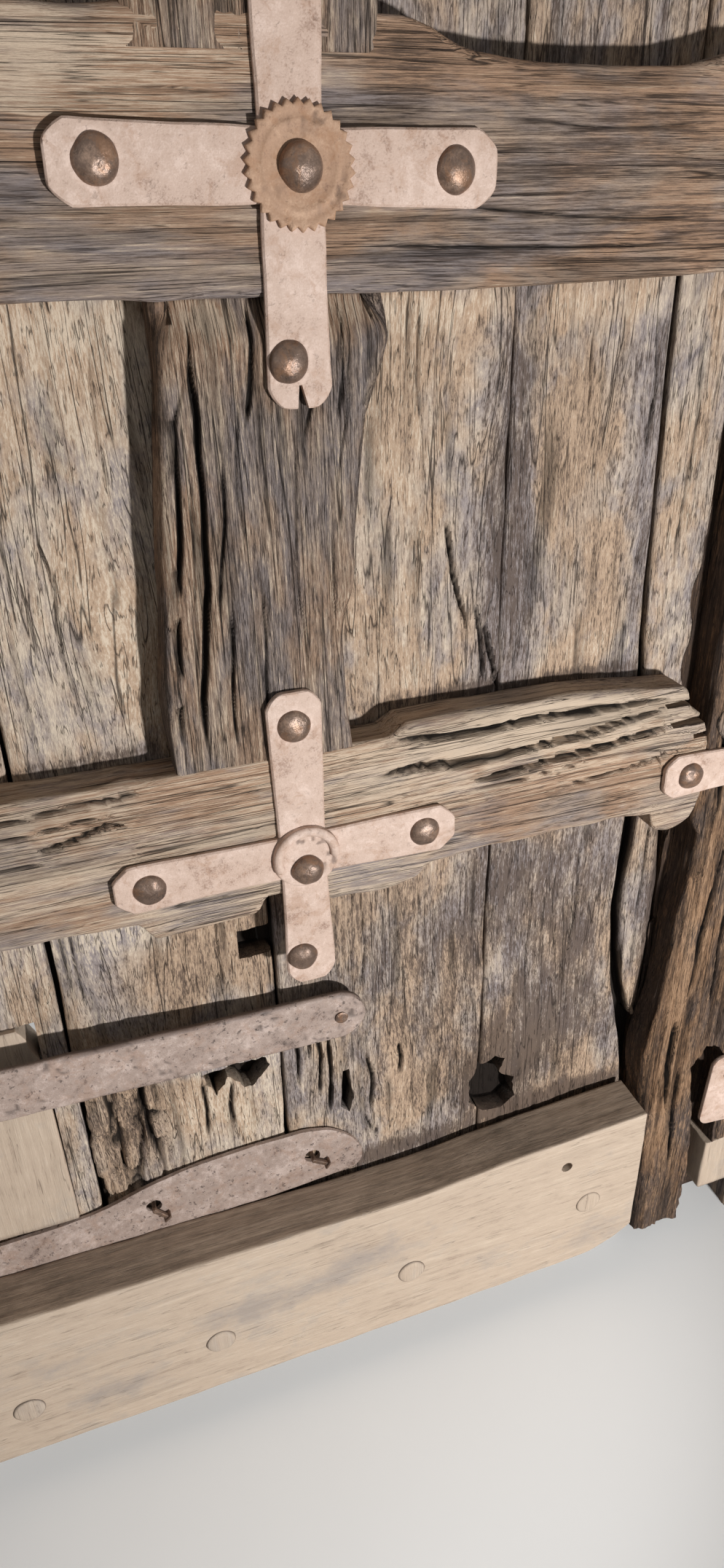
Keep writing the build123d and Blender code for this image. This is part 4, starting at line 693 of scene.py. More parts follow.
class Signal:
    """A socket in a tree of nodes, with the arithmetic that is done on it."""

    def __init__(self, nodes, socket):
        self.nodes, self.socket = nodes, socket

    def maths(self, operation, first, second=0.0, clamp=False):
        settings = {"operation": operation, "use_clamp": clamp}
        return self.nodes.add("ShaderNodeMath", settings, {0: first, 1: second})

    def __add__(self, other):
        return self.maths("ADD", self, other)

    def __radd__(self, other):
        return self.maths("ADD", other, self)

    def __sub__(self, other):
        return self.maths("SUBTRACT", self, other)

    def __rsub__(self, other):
        return self.maths("SUBTRACT", other, self)

    def __mul__(self, other):
        return self.maths("MULTIPLY", self, other)

    def __rmul__(self, other):
        return self.maths("MULTIPLY", other, self)

    def __truediv__(self, other):
        return self.maths("DIVIDE", self, other)

    def __rtruediv__(self, other):
        return self.maths("DIVIDE", other, self)

    def size(self):
        return self.maths("ABSOLUTE", self)

    def clamped(self):
        return self.maths("ADD", self, 0.0, clamp=True)

    def between(self, low, high):
        """0 below low, 1 above high and smooth from one to the other."""
        settings = {"interpolation_type": "SMOOTHSTEP"}
        return self.nodes.add("ShaderNodeMapRange", settings, {0: self, 1: low, 2: high, 3: 0.0, 4: 1.0})


class Nodes:
    """The tree of nodes of a material or of the world."""

    def __init__(self, owner):
        owner.use_nodes = True
        self.owner, self.tree = owner, owner.node_tree
        self.tree.nodes.clear()

    def add(self, kind, settings, sockets, output=0):
        """Node of this type with its settings and sockets, as the signal that it gives."""
        node = self.tree.nodes.new(kind)
        for key, value in settings.items():
            setattr(node, key, value)
        for key, value in sockets.items():
            if isinstance(value, Signal):
                self.tree.links.new(value.socket, node.inputs[key])
            else:
                node.inputs[key].default_value = value
        return Signal(self, node.outputs[output] if node.outputs else None)

    def shown(self):
        """1 for rays by which a thing is seen, directly, mirrored or through glass, and 0 for those that light."""
        camera, glossy, through = (self.add("ShaderNodeLightPath", {}, {}, f"Is {kind} Ray")
                                   for kind in ("Camera", "Glossy", "Transmission"))
        return (camera + glossy + through).clamped()


class Shader(Nodes):
    """One procedural material."""

    def __init__(self, name):
        super().__init__(bpy.data.materials.new(name))

    def finish(self, **sockets):
        """Close the material with its surface, whose sockets are named here with underscores for spaces."""
        named = {key.replace("_", " "): value for key, value in sockets.items()}
        self.add("ShaderNodeOutputMaterial", {}, {0: self.add("ShaderNodeBsdfPrincipled", {}, named)})
        return self.owner

    def attribute(self, name):
        return self.add("ShaderNodeAttribute", {"attribute_name": name}, {}, "Vector")

    def parts(self, vector):
        return [self.add("ShaderNodeSeparateXYZ", {}, {0: vector}, axis) for axis in range(3)]

    def speckle(self, vector, scale, detail=2.0, rough=0.5, distortion=0.0):
        sockets = {"Vector": vector, "Scale": scale, "Detail": detail, "Roughness": rough, "Distortion": distortion}
        return self.add("ShaderNodeTexNoise", {}, sockets)

    def fibres(self, grain, across, along, detail, rough, distortion=0.0):
        """Speckle drawn out along the grain, with so many cells to the metre across and along it."""
        settings, factors = {"operation": "MULTIPLY"}, (across, across, along)
        drawn = self.add("ShaderNodeVectorMath", settings, {0: grain, 1: factors})
        return self.speckle(drawn, 1.0, detail, rough, distortion)

    def checks(self, grain, across, along, width, keep):
        """Thin broken lines along the grain, as dry wood opens: 1 in a check and 0 beside it."""
        line = 1.0 - (self.fibres(grain, across, along, 1.5, 0.5) - 0.5).size() / width
        gate = self.fibres(grain, across * 0.45, along * 1.5, 2.0, 0.5)
        return line.clamped() * gate.between(keep, keep + 0.05)

    def mix(self, factor, first, second):
        return self.add("ShaderNodeMix", {"data_type": "RGBA"}, {0: factor, 6: first, 7: second}, 2)

    def bump(self, height, distance):
        return self.add("ShaderNodeBump", {}, {"Height": height, "Distance": distance})


def solid(colour, gain=1.0):
    """A colour for a socket, darker or lighter by a gain."""
    return (*[min(1.0, gain * value) for value in colour], 1.0)


def oak(name, light, warm, middle, grey, dark, contrast=1.0, length=1.0, relief=0.0016, fineness=1.0):
    """Weathered oak: warm and silvered patches, short fibres, and dark checks along the grain."""
    shader = Shader(name)
    grain = shader.attribute("grain")
    hollow, greyed, shade = shader.parts(shader.attribute("wear"))
    fibre = shader.fibres(grain, 900 * fineness, 150 / length, 4.0, 0.75)
    streak = shader.fibres(grain, 260 * fineness, 22 / length, 5.0, 0.7)
    patch = shader.fibres(grain, 44, 20 / length, 5.0, 0.68, 0.7)
    cloud = shader.fibres(grain, 17, 8, 4.0, 0.6, 0.4)
    fine_checks = shader.checks(grain, 420 * fineness, 30 / length, 0.030, 0.49)
    wide_checks = shader.checks(grain, 130, 6.5 / length, 0.014, 0.50)
    long_checks = shader.checks(grain, 66, 2.0 / length, 0.0075, 0.44)
    lines = (fine_checks * 0.8 + wide_checks + long_checks).clamped()
    tone = 0.5 + (streak - 0.5) * (1.5 * contrast) + (fibre - 0.5) * (2.1 * contrast)
    tone = tone + (patch - 0.5) * 0.7 - shade * 0.50
    greying = ((patch + cloud - 1.0) * -4.0 + 0.10 + greyed).clamped() * 0.85
    colour = shader.mix((cloud.between(0.42, 0.60) - greyed).clamped(), solid(middle), solid(warm))
    # The hollow value paints near black shade into cracks, furrows, creases and joints.
    for amount, other in ((greying, solid(grey)), (tone.between(0.50, 0.95) * 0.80, solid(light)),
                          ((1.0 - tone.between(-0.05, 0.50)) * 0.9, solid(dark)), (lines * 0.9, solid(dark, 0.26)),
                          (hollow.clamped() * 0.98, solid(dark, 0.12))):
        colour = shader.mix(amount, colour, other)
    return shader.finish(
        Base_Color=colour,
        Roughness=(0.70 + (fibre - 0.5) * 0.35).clamped(),
        Specular_IOR_Level=0.16,
        Normal=shader.bump(fibre * 0.45 + streak * 0.7 - lines * 0.55, relief),
    )


def sawn(name, light, middle, dark, stain, old):
    """Newer wood with a flat sawn face, fine grain and grey stains, and sides painted darker as shade."""
    shader = Shader(name)
    grain = shader.attribute("grain")
    hollow, greyed, shade = shader.parts(shader.attribute("wear"))
    fibre = shader.fibres(grain, 1000, 45, 4.0, 0.65)
    streak = shader.fibres(grain, 210, 7, 4.0, 0.6)
    cloud = shader.fibres(grain, 16, 9, 5.0, 0.65, 0.4)
    dirt = shader.fibres(grain, 60, 40, 4.0, 0.7)
    scratch = shader.checks(grain, 260, 9, 0.014, 0.53)
    tone = 0.5 + (streak - 0.5) * 0.55 + (fibre - 0.5) * 0.8 + (cloud - 0.5) * 0.7 + (dirt - 0.5) * 0.4
    stained = ((cloud - 0.55) * 3.2 + (dirt - 0.5) * 2.2 + greyed * 1.2).clamped() * 0.62
    # Painted shade: where the shade value is set, the sides are drawn in the colour old or in a darker copy of it.
    sides = shader.mix(tone.between(0.25, 0.80), solid(old, 0.35), solid(old))
    # The hollow value adds the shade painted in cracks and furrows to the scratches.
    lines = (scratch * 0.55 + hollow).clamped()
    colour = shader.mix(tone.between(0.45, 0.85), solid(middle), solid(light))
    for amount, other in ((1.0 - tone.between(0.10, 0.45), solid(dark)), (stained, solid(stain)),
                          (shade.clamped(), sides), (lines * 0.85, solid(dark, 0.30))):
        colour = shader.mix(amount, colour, other)
    return shader.finish(
        Base_Color=colour,
        Roughness=(0.66 + (fibre - 0.5) * 0.25).clamped(),
        Specular_IOR_Level=0.3,
        Normal=shader.bump(fibre * 0.5 + streak * 0.7 - scratch * 0.4, 0.0006),
    )


def forged(name, light, middle, dark, pits=0.0, gloss=0.62, metal=0.0, rust=(0.30, 0.14, 0.06), rusty=0.3):
    """Old iron under dust and rust, with a mottled skin, darker edges, fine pits and the shade painted on the sides of
    straps.
    """
    shader = Shader(name)
    place = shader.add("ShaderNodeTexCoord", {}, {}, "Object")
    hollow, pale, edge = shader.parts(shader.attribute("wear"))
    cloud = shader.speckle(place, 26.0, 4.0, 0.6)
    mottle = shader.speckle(place, 130.0, 5.0, 0.7)
    grit = shader.speckle(place, 800.0, 3.0, 0.6)
    bloom = shader.speckle(place, 55.0, 5.0, 0.72, 0.6)
    spots = shader.speckle(place, 210.0, 3.0, 0.6).between(0.60, 0.72) * pits
    tone = 0.5 + (cloud - 0.5) * 1.1 + (mottle - 0.5) * 1.0 + (grit - 0.5) * 0.6
    colour = shader.mix(tone.between(0.45, 0.85), solid(middle), solid(light))
    # hollow holds the pits and the shade painted on the sides of straps.
    for amount, other in (((0.45 - tone).between(0.0, 0.35), solid(dark)),
                          ((bloom - 0.50).between(0.0, 0.14) * rusty, solid(rust)),
                          ((edge * 0.8 + (mottle - 0.5) * edge * 1.5).clamped() * 0.75, solid(dark)),
                          ((pale * (0.6 + (mottle - 0.5) * 2.0)).clamped(), solid(light, 1.12)),
                          ((hollow * 0.9 + spots * 0.7).clamped(), solid(dark, 0.40))):
        colour = shader.mix(amount, colour, other)
    return shader.finish(
        Base_Color=colour,
        Metallic=metal,
        Roughness=(gloss + (mottle - 0.5) * 0.35).clamped(),
        Specular_IOR_Level=0.4,
        Normal=shader.bump(mottle * 0.8 + grit * 0.3 - spots * 0.8, 0.0006),
    )


MATERIALS = {}
STILE_OAK = ((0.40, 0.25, 0.15), (0.20, 0.115, 0.065), (0.135, 0.085, 0.056), (0.10, 0.075, 0.065),
             (0.035, 0.022, 0.016))
# The last colour of NEW_WOOD is that of the sides painted in shade.
NEW_WOOD = ((0.60, 0.488, 0.378), (0.475, 0.372, 0.284), (0.24, 0.175, 0.13), (0.25, 0.22, 0.205), (0.40, 0.30, 0.22))
RUSTY = ((0.52, 0.34, 0.23), (0.39, 0.24, 0.155), (0.20, 0.11, 0.07))
PITTED = ((0.50, 0.395, 0.345), (0.33, 0.25, 0.21), (0.12, 0.082, 0.068))
DARK = ((0.27, 0.18, 0.13), (0.135, 0.088, 0.065), (0.045, 0.03, 0.024))


def finishes(look):
    """Make every finish of the door once, from the colours in the panel."""
    def chosen(kind, *parts):
        return [tuple(getattr(look, f"{kind}_{part}")) for part in parts]

    def framed(*gains):
        return [tuple(value * gain for value in colour) for colour, gain in zip(framing, gains)]

    if MATERIALS:
        return MATERIALS
    plank, framing = (chosen(kind, "light", "warm", "middle", "grey", "dark") for kind in ("plank", "framing"))
    strap = chosen("strap", "light", "middle", "dark")
    for make, name, colours, settings in (
            (oak, "plank_oak", plank, {}),
            (oak, "framing_oak", framing, {"length": 2.6}),
            (oak, "rail_oak", framed(1.06, 1.08, 1.10, 1.10, 1.10),
             {"contrast": 0.95, "length": 3.4, "relief": 0.0013, "fineness": 1.6}),
            (oak, "muntin_oak", framed(0.98, 0.88, 0.88, 0.90, 0.70),
             {"contrast": 1.25, "length": 1.7, "fineness": 1.5}),
            (oak, "stile_oak", STILE_OAK, {"contrast": 1.40, "length": 2.0, "relief": 0.0024}),
            (oak, "frame_oak", framed(0.88, 0.88, 0.88, 0.88, 0.88), {"length": 1.7}),
            (oak, "peg_oak", framed(0.9, 0.9, 0.9, 0.9, 0.9), {"contrast": 0.7}),
            (sawn, "new_wood", NEW_WOOD, {}),
            (forged, "strap_iron", strap, {"pits": 0.35, "gloss": 0.60, "rusty": 0.30}),
            (forged, "rusty_iron", RUSTY, {"pits": 0.35, "gloss": 0.70, "rusty": 0.35}),
            (forged, "pitted_iron", PITTED, {"pits": 1.0, "gloss": 0.60, "rusty": 0.18}),
            (forged, "dark_iron", DARK, {"pits": 0.3, "gloss": 0.36, "metal": 0.35, "rusty": 0.35})):
        MATERIALS[name] = make(name, *colours, **settings)
    return MATERIALS


# Planks

PHOTO_ZONE = (0.24, 1.16, 0.0075)      # stretch of the leaf that is seen from near by
RAGGED_HOLE = [(-112, 447), (-97, 415), (-84, 438), (-69, 419), (-60, 417), (-42, 440), (-44, 453), (-76, 452)]
ROT_HOLE = [(186, 300), (184, 330), (197, 352), (216, 362), (228, 354), (222, 336), (240, 320), (243, 290),
            (226, 277), (203, 281)]
SLOT = [(32, 352), (36, 402), (43, 403), (47, 360), (42, 341)]
SQUARE_HOLE = [(-61, 581), (-28, 581), (-28, 613), (-61, 613)]
PLANK_D_EDGE = [(40, 387.5), (250, 390.5), (308, 385.5), (382, 369.5), (456, 356.5), (541, 350.5), (631, 353.5),
                (740, 348.5), (900, 342.5), (1142, 339.5), (1250, 339.5)]
PLANK_E_LEFT = [(360, 393), (377, 386.5), (435, 372.5), (488, 364.5), (541, 360.5), (625, 366.5), (740, 359.5),
                (900, 346.5), (1142, 342.5), (1250, 342.5)]
PLANK_E_RIGHT = [(360, 394), (400, 400), (541, 402), (625, 397), (700, 404), (1250, 404.5)]
PATCH_BOX = [(-440, 306), (-251, 306), (-251, 563), (-440, 563)]
HOLE_FLOOR = LIP_FACE + 0.003          # the holes stay blind: the lap behind them is sound
PLANK_TOP = SPRING + 0.35
SIDE_GAP = 0.0005

# Each plank: seed, edges in front, edges behind the laps, foot, and its cuts as (outline, raggedness, depth)
PLANKS = {
    "plank_a": (11, (-INNER + SIDE_GAP, -0.2275), (-INNER + SIDE_GAP, -0.2375), 0.040,
                [(PATCH_BOX, 0.0, PLANK_BACK + CUT_PAST)]),
    "plank_b": (12, (-0.2245, -0.0295), (-0.2345, -0.0383), 0.040,
                [(RAGGED_HOLE, 2.5, HOLE_FLOOR), (SQUARE_HOLE, 0.3, HOLE_FLOOR)]),
    "plank_c": (13, (-0.0265, 0.1977), (-0.0377, 0.1877), 0.040,
                [(ROT_HOLE, 2.0, HOLE_FLOOR), (SLOT, 0.8, HOLE_FLOOR)]),
    "plank_d": (14, (0.1984, curve(PLANK_D_EDGE)), (0.1883, 0.3295), 0.040, [(ROT_HOLE, 2.0, HOLE_FLOOR)]),
    "plank_e": (15, (curve(PLANK_E_LEFT), curve(PLANK_E_RIGHT)), (0.3325, INNER - SIDE_GAP), 0.367, []),
}


def arched_top(half):
    """Upper end of a plank that reaches up into an arch of this radius."""
    return lambda a: SPRING + np.sqrt(np.clip(half**2 - np.asarray(a, float) ** 2, 0, None))


class DOOR_OT_planks(bpy.types.Operator):
    """Five weathered planks behind the framing, with their rot, cracks and knots"""
    bl_idname = "door.planks"
    bl_label = "Planks"

    def execute(self, context):
        finish = finishes(context.scene.door_look)["plank_oak"]
        reach = arched_top(INNER - 0.002)
        for name, (seed, front, behind, foot, holes) in PLANKS.items():
            timber = Timber(name, seed=seed, face=PLANK_FACE, **AGEING[name])
            runs = [block(*front, PLANK_FACE, LIP_FACE, foot, reach, spread(foot, PLANK_TOP, 0.022, [PHOTO_ZONE]),
                          worn=0.0045),
                    block(*behind, LIP_FACE - 0.001, PLANK_BACK, 0.040, reach, spread(0.040, PLANK_TOP, 0.045),
                          fine=0.008, rough=0.006, worn=0.002)]
            cutters = [prism(ragged(outline, shake, 5.0, 3), PLANK_FACE - CUT_PAST, depth, finish)
                       for outline, shake, depth in holes]
            put_up(timber, runs, finish, "leaf", "plank_oak", "_weathered", cutters)
        return {"FINISHED"}


# Rails and muntins

RAIL_LOWER_TOP = [(-405, 800), (-250, 806), (-115, 805), (75, 805), (95, 814), (220, 815), (330, 807), (374, 802),
                  (381, 782), (397, 768), (405, 745)]
RAIL_LOWER_FOOT = [(-405, 672), (-280, 675), (-150, 671), (-134, 653), (-47, 654), (-36, 668), (10, 668), (22, 652),
                   (98, 655), (120, 670), (240, 674), (351, 671), (356, 652), (373, 648), (396, 657), (405, 678)]
RAIL_MIDDLE_TOP = [(-405, 1289), (-240, 1294), (-95, 1293), (90, 1293), (145, 1275), (215, 1269), (285, 1269),
                   (345, 1279), (405, 1285)]
RAIL_MIDDLE_FOOT = [(-405, 1143), (-250, 1144), (-95, 1142), (100, 1142), (250, 1141), (405, 1147)]
MUNTIN_LEFT = [(805, -102), (855, -103), (926, -97), (977, -93), (1048, -86), (1102, -81), (1142, -82)]
MUNTIN_RIGHT = [(805, 46), (886, 43), (946, 52), (994, 57), (1058, 65), (1095, 78), (1118, 84), (1142, 80)]
BROKEN_END = [[(351, 788), (405, 792), (405, 783), (355, 783)], [(358, 768), (408, 772), (408, 762), (364, 762)],
              [(377, 815), (412, 815), (412, 789), (381, 788)], [(386, 752), (412, 754), (412, 746), (388, 747)]]


def peg_ends(*nodes):
    """Middles and radius, in millimetres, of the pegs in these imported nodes."""
    found = []
    for node in nodes:
        for group in clusters(node, PEG_REACH):
            low, high = group[:, [0, 2]].min(0), group[:, [0, 2]].max(0)
            found.append((*((low + high) / 2 / MM), float((high - low).max() / 2 / MM)))
    return found


class DOOR_OT_rails(bpy.types.Operator):
    """Three adzed rails that tie the framing together"""
    bl_idname = "door.rails"
    bl_label = "Rails"

    def execute(self, context):
        finish = finishes(context.scene.door_look)["rail_oak"]
        for name, seed, foot, top, spacing, broken in (
                ("rail_lower", 21, curve(RAIL_LOWER_FOOT), curve(RAIL_LOWER_TOP), 0.0042, BROKEN_END),
                ("rail_middle", 22, curve(RAIL_MIDDLE_FOOT), curve(RAIL_MIDDLE_TOP), 0.0075, []),
                ("rail_upper", 23, 1.525, 1.675, 0.0075, [])):
            run = block(foot, top, TIMBER_FACE, PLANK_FACE, -INNER, INNER, spread(-INNER, INNER, spacing),
                        fine=0.0016, rough=0.0028, worn=0.006)
            cutters = [prism(ragged(end, 0.9, 6.0, 7), TIMBER_FACE - CUT_PAST, PLANK_FACE + 0.002, finish)
                       for end in broken]
            timber = Timber(name, way="across", seed=seed, **AGEING[name])
            put_up(timber, [run], finish, "leaf", "framing_oak", "_adzed", cutters)
        return {"FINISHED"}


class DOOR_OT_muntins(bpy.types.Operator):
    """Three muntins between the rails, the lowest one split along its left edge"""
    bl_idname = "door.muntins"
    bl_label = "Muntins"

    def execute(self, context):
        finish = finishes(context.scene.door_look)["muntin_oak"]
        for name, seed, left, right, foot, top, stations, fine, rough, worn in (
                ("muntin_lower", 31, curve(MUNTIN_LEFT), curve(MUNTIN_RIGHT), 0.803, 1.1422,
                 spread(0.803, 1.1422, 0.0032), 0.0009, 0.0026, 0.009),
                ("muntin_middle", 32, curve([(1293, -79), (1409, -72), (1525, -77)]),
                 curve([(1293, 77), (1409, 69), (1525, 75)]), 1.272, 1.527, spread(1.272, 1.527, 0.009),
                 0.0022, 0.004, 0.006),
                ("muntin_top", 33, -0.070, 0.070, 1.6745, arched_top(INNER), spread(1.675, 2.09, 0.014),
                 0.0026, 0.004, 0.006)):
            run = block(left, right, TIMBER_FACE, PLANK_FACE, foot, top, stations, fine, rough, worn)
            put_up(Timber(name, seed=seed, **AGEING[name]), [run], finish, "leaf", "framing_oak", "_split")
        return {"FINISHED"}


# Stiles and arched head

STILE_EATEN = [(18, 416), (90, 415), (190, 409), (275, 395), (325, 388), (395, 396), (475, 403), (525, 407), (580, 412),
               (634, 413), (650, 405), (700, 405), (1690, 405)]
ANCHOR_HEIGHTS, ANCHOR_RADIUS = (0.3, 0.9, 1.5), 0.007
ANCHOR_SPAN = (0.50, 0.72)             # the cutter of an anchor hole reaches past both sides of its jamb
STILE_STEPS, JAMB_STEPS = [88, 24, 16, 8, 3, 14], [34, 26, 22, 12, 6, 16]      # points along each side of a section
ROTTEN_FOOT = [(476, 0), (479, 120), (473, 210), (460, 292), (479, 322), (497, 314), (509, 296), (515, 250),
               (512, 147.3), (570, 147.3), (570, 0)]


def stile_runs(eaten):
    """Body of a stile up to the springing, whole or with the edge that was eaten."""
    foot = constant(LEAF_FOOT)
    if eaten:
        line = curve(STILE_EATEN)
        corners = [(line, TIMBER_FACE), (constant(LEAF_HALF), TIMBER_FACE), (constant(LEAF_HALF), PLANK_BACK),
                   (constant(INNER), PLANK_BACK), (constant(INNER), PLANK_FACE), (line, PLANK_FACE)]
        stations = spread(LEAF_FOOT, SPRING, 0.020, [(0.02, 1.20, 0.008)])
        return [Run(corners, foot, constant(SPRING), stations, STILE_STEPS, 0.007)]
    stations = spread(LEAF_FOOT, SPRING, 0.016)
    return [block(INNER, LEAF_HALF, TIMBER_FACE, PLANK_BACK, foot, constant(SPRING), stations, fine=0.0026, worn=0.006)]


def arc_block(a0, a1, y0, y1, lo, hi, spacing, fine=0.003):
    """Run along an arch between two ends given as angles for a radius."""
    length = pi / 2 * ARCH_R
    stations = spread(0.0, length, spacing)
    ends = [lambda a, end=end: ARCH_R * end(np.asarray(a, float)) for end in (lo, hi)]
    return block(a0, a1, y0, y1, ends[0], ends[1], stations, fine=fine, rough=0.005, worn=0.005)


def from_springing(rise):
    return lambda a: np.arcsin(np.clip(rise / np.maximum(a, 0.3), -1, 1))


def past_crown(reach):
    """End of an arched piece this far past the crown, or short of it when the distance is negative."""
    return lambda a: pi / 2 + np.arcsin(np.clip(reach / np.maximum(a, 0.3), -1, 1))


def arch_runs(inner, outer, back_inner, front, middle, back, lap, crown, side, fine=0.003):
    """Two layers of half an arch. The left half is in front at the crown and the right half behind."""
    reach = crown if side < 0 else -crown
    return [arc_block(inner, outer, front, middle, from_springing(0.0), past_crown(reach), 0.016, fine),
            arc_block(back_inner, outer, middle - 0.0005, back, from_springing(lap), past_crown(-reach), 0.020, 0.005)]


def tongue(inner, outer, front, back, lap):
    """Upper end of a stile or jamb behind the arch's foot, where the two are halved together."""
    def edge(radius):
        return lambda s: np.sqrt(radius**2 - (np.clip(s, SPRING, SPRING + lap) - SPRING) ** 2)

    lo, hi = SPRING - 0.003, SPRING + lap - 0.0006
    stations = spread(lo, hi, 0.012)
    return block(edge(inner), edge(outer), front, back, lo, hi, stations, fine=0.005, rough=0.006, worn=0.002)


class DOOR_OT_stiles(bpy.types.Operator):
    """Stiles and arched head of the leaf, with the eaten foot of the closing stile"""
    bl_idname = "door.stiles"
    bl_label = "Stiles and head"

    def execute(self, context):
        look = finishes(context.scene.door_look)
        finish = look["framing_oak"]
        pegs = peg_ends("tenon_pegs", "head_pegs")
        for side, name in ((-1, "left"), (1, "right")):
            eaten = side > 0
            own = [peg for peg in pegs if peg[0] * side > 0]
            timber = Timber("stile_" + name, side=side, seed=41 + side, pegs=own, **AGEING["stile_" + name])
            cutters = [prism(ragged(outline, 2.0, 9.0, 5), TIMBER_FACE - CUT_PAST, PLANK_FACE, finish)
                       for outline in ([ROTTEN_FOOT] if eaten else [])]
            runs = stile_runs(eaten) + [tongue(INNER, LEAF_HALF, PLANK_FACE, PLANK_BACK, HEAD_LAP)]
            put_up(timber, runs, look["stile_oak"] if eaten else finish, "leaf", "framing_oak", "_worn", cutters)
            head = Timber("leaf_head_" + name, way="arch", side=side, seed=45 + side, shade=0.2, pegs=pegs)
            runs = arch_runs(INNER, LEAF_HALF, INNER, TIMBER_FACE, PLANK_FACE, PLANK_BACK, HEAD_LAP, CROWN_LAP, side)
            put_up(head, runs, finish, "leaf", "framing_oak", "_worn")
        return {"FINISHED"}


class DOOR_OT_frame(bpy.types.Operator):
    """Jambs and arch of the frame, with the stop behind the leaf and the anchor holes"""
    bl_idname = "door.frame"
    bl_label = "Frame"

    def execute(self, context):
        finish = finishes(context.scene.door_look)["frame_oak"]
        pegs = peg_ends("frame_pegs")
        edges = [(FRAME_IN, TIMBER_FACE), (FRAME_OUT, TIMBER_FACE), (FRAME_OUT, FRAME_BACK), (STOP_IN, FRAME_BACK),
                 (STOP_IN, STOP_FACE), (FRAME_IN, STOP_FACE)]
        corners = [(constant(a), y) for a, y in edges]
        for side, name in ((-1, "left"), (1, "right")):
            timber = Timber("jamb_" + name, side=side, seed=51 + side, pegs=pegs, shade=0.1)
            runs = [Run(corners, constant(0.0), constant(SPRING), spread(0, SPRING, 0.022), JAMB_STEPS, 0.005),
                    tongue(STOP_IN, FRAME_OUT, STOP_FACE, FRAME_BACK, FRAME_LAP)]
            holes = [anchor_hole(side, z, finish) for z in ANCHOR_HEIGHTS]
            put_up(timber, runs, finish, "frame", "frame_oak", "_hewn", holes)
            arch = Timber("frame_arch_" + name, way="arch", side=side, seed=55 + side, pegs=pegs, shade=0.1)
            runs = arch_runs(FRAME_IN, FRAME_OUT, STOP_IN, TIMBER_FACE, STOP_FACE, FRAME_BACK, FRAME_LAP,
                             FRAME_CROWN_LAP, side, 0.0034)
            put_up(arch, runs, finish, "frame", "frame_oak", "_hewn")
        return {"FINISHED"}


def anchor_hole(side, z, material):
    """Cutter for a bolt hole across a jamb."""
    turn = np.linspace(0, 2 * pi, 24, endpoint=False)
    y = (STOP_FACE + FRAME_BACK) / 2 + ANCHOR_RADIUS * np.cos(turn)
    rings = [np.column_stack([np.full(24, side * x), y, z + ANCHOR_RADIUS * np.sin(turn)]) for x in ANCHOR_SPAN]
    blank = Blank()
    blank.tube(np.stack(rings))
    return place_in_scene(blank.mesh("cutter"), "cutter", material)


# Newer wood

BOARD_TOP = [(-383, 260), (-123, 257), (84, 254), (215, 264), (383, 272)]
BOARD_FOOT = [(-383, 47), (-120, 46), (120, 47), (323, 50), (357, 60), (384, 78)]
PATCH_EDGE = [(306, -252), (520, -253), (530, -256), (536, -259), (550, -261), (562, -268)]
PATCH_FACE = -0.00975
KNOT = (282, 225, 7)                   # loose knot of the board: place and radius in millimetres
PLUG_PROUD = 0.0012


class DOOR_OT_new_wood(bpy.types.Operator):
    """Thick bottom board, the light patch and the block in the stile's foot"""
    bl_idname = "door.new_wood"
    bl_label = "Board, patch and block"

    def execute(self, context):
        finish = finishes(context.scene.door_look)["new_wood"]
        board = Timber("bottom_board", way="across", seed=61, face=BOARD_FACE, **AGEING["bottom_board"])
        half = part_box("bottom_board")[1].x
        run = block(curve(BOARD_FOOT), curve(BOARD_TOP), BOARD_FACE, BOARD_BACK, -half, half,
                    spread(-half, half, 0.008), fine=0.0028, rough=0.0024, worn=0.0025)
        x, z, radius = KNOT
        knot = prism([(x + radius * cos(t), z + radius * sin(t)) for t in np.linspace(0, 6.1, 16)], BOARD_FACE - 0.01,
                     BOARD_FACE + 0.020, finish)
        put_up(board, [run], finish, "leaf", "new_wood", "_sawn", [knot])
        patch = Timber("patch_board", seed=62, face=PATCH_FACE, ridge=0.00015, groove=0.0004, roll=0.0005)
        filler = Timber("foot_block", seed=63, ridge=0.0002, groove=0.0006, roll=0.0008)
        for timber, edge, spacing, worn in ((patch, curve(PATCH_EDGE), 0.006, 0.002), (filler, None, 0.004, 0.003)):
            low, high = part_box(timber.name)
            run = block(low.x, edge or high.x, low.y, high.y, low.z, high.z, spread(low.z, high.z, spacing),
                        fine=0.003, worn=worn)
            put_up(timber, [run], finish, "leaf", "new_wood", "_sawn")
        return {"FINISHED"}


class DOOR_OT_pegs(bpy.types.Operator):
    """Oak pegs of the joints and the plugs of the bottom board"""
    bl_idname = "door.pegs"
    bl_label = "Pegs and plugs"

    def execute(self, context):
        look = finishes(context.scene.door_look)
        for node, body, slot, proud in (
                ("tenon_pegs", "leaf", "peg_oak", 0.0), ("head_pegs", "leaf", "peg_oak", 0.0),
                ("frame_pegs", "frame", "peg_oak", 0.0), ("board_plugs", "leaf", "new_wood", PLUG_PROUD)):
            low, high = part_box(node)
            parts, grains = [], []
            for n, (x, z, radius) in enumerate(peg_ends(node)):
                x, z, radius = x * MM, z * MM, radius * MM
                points = peg_rings(x, z, radius, low.y - proud, high.y, n)
                share = np.hypot(points[..., 0] - x, points[..., 2] - z) / radius
                wear = np.zeros(points.shape)
                # Painted shade round the rim of each head, as in the gap beside it.
                wear[..., 0] = np.clip((share - 0.90) / 0.06, 0, 1)
                wear[..., 1] = 0.25
                parts.append((points, wear))
                grains.append(points.reshape(-1, 3) + n * 0.31)
            piece = iron_piece(parts, node + "_driven", look[slot], np.concatenate(grains) * (1, 1, 0.3))
            hand_over(piece, body, slot, [node])
        return {"FINISHED"}


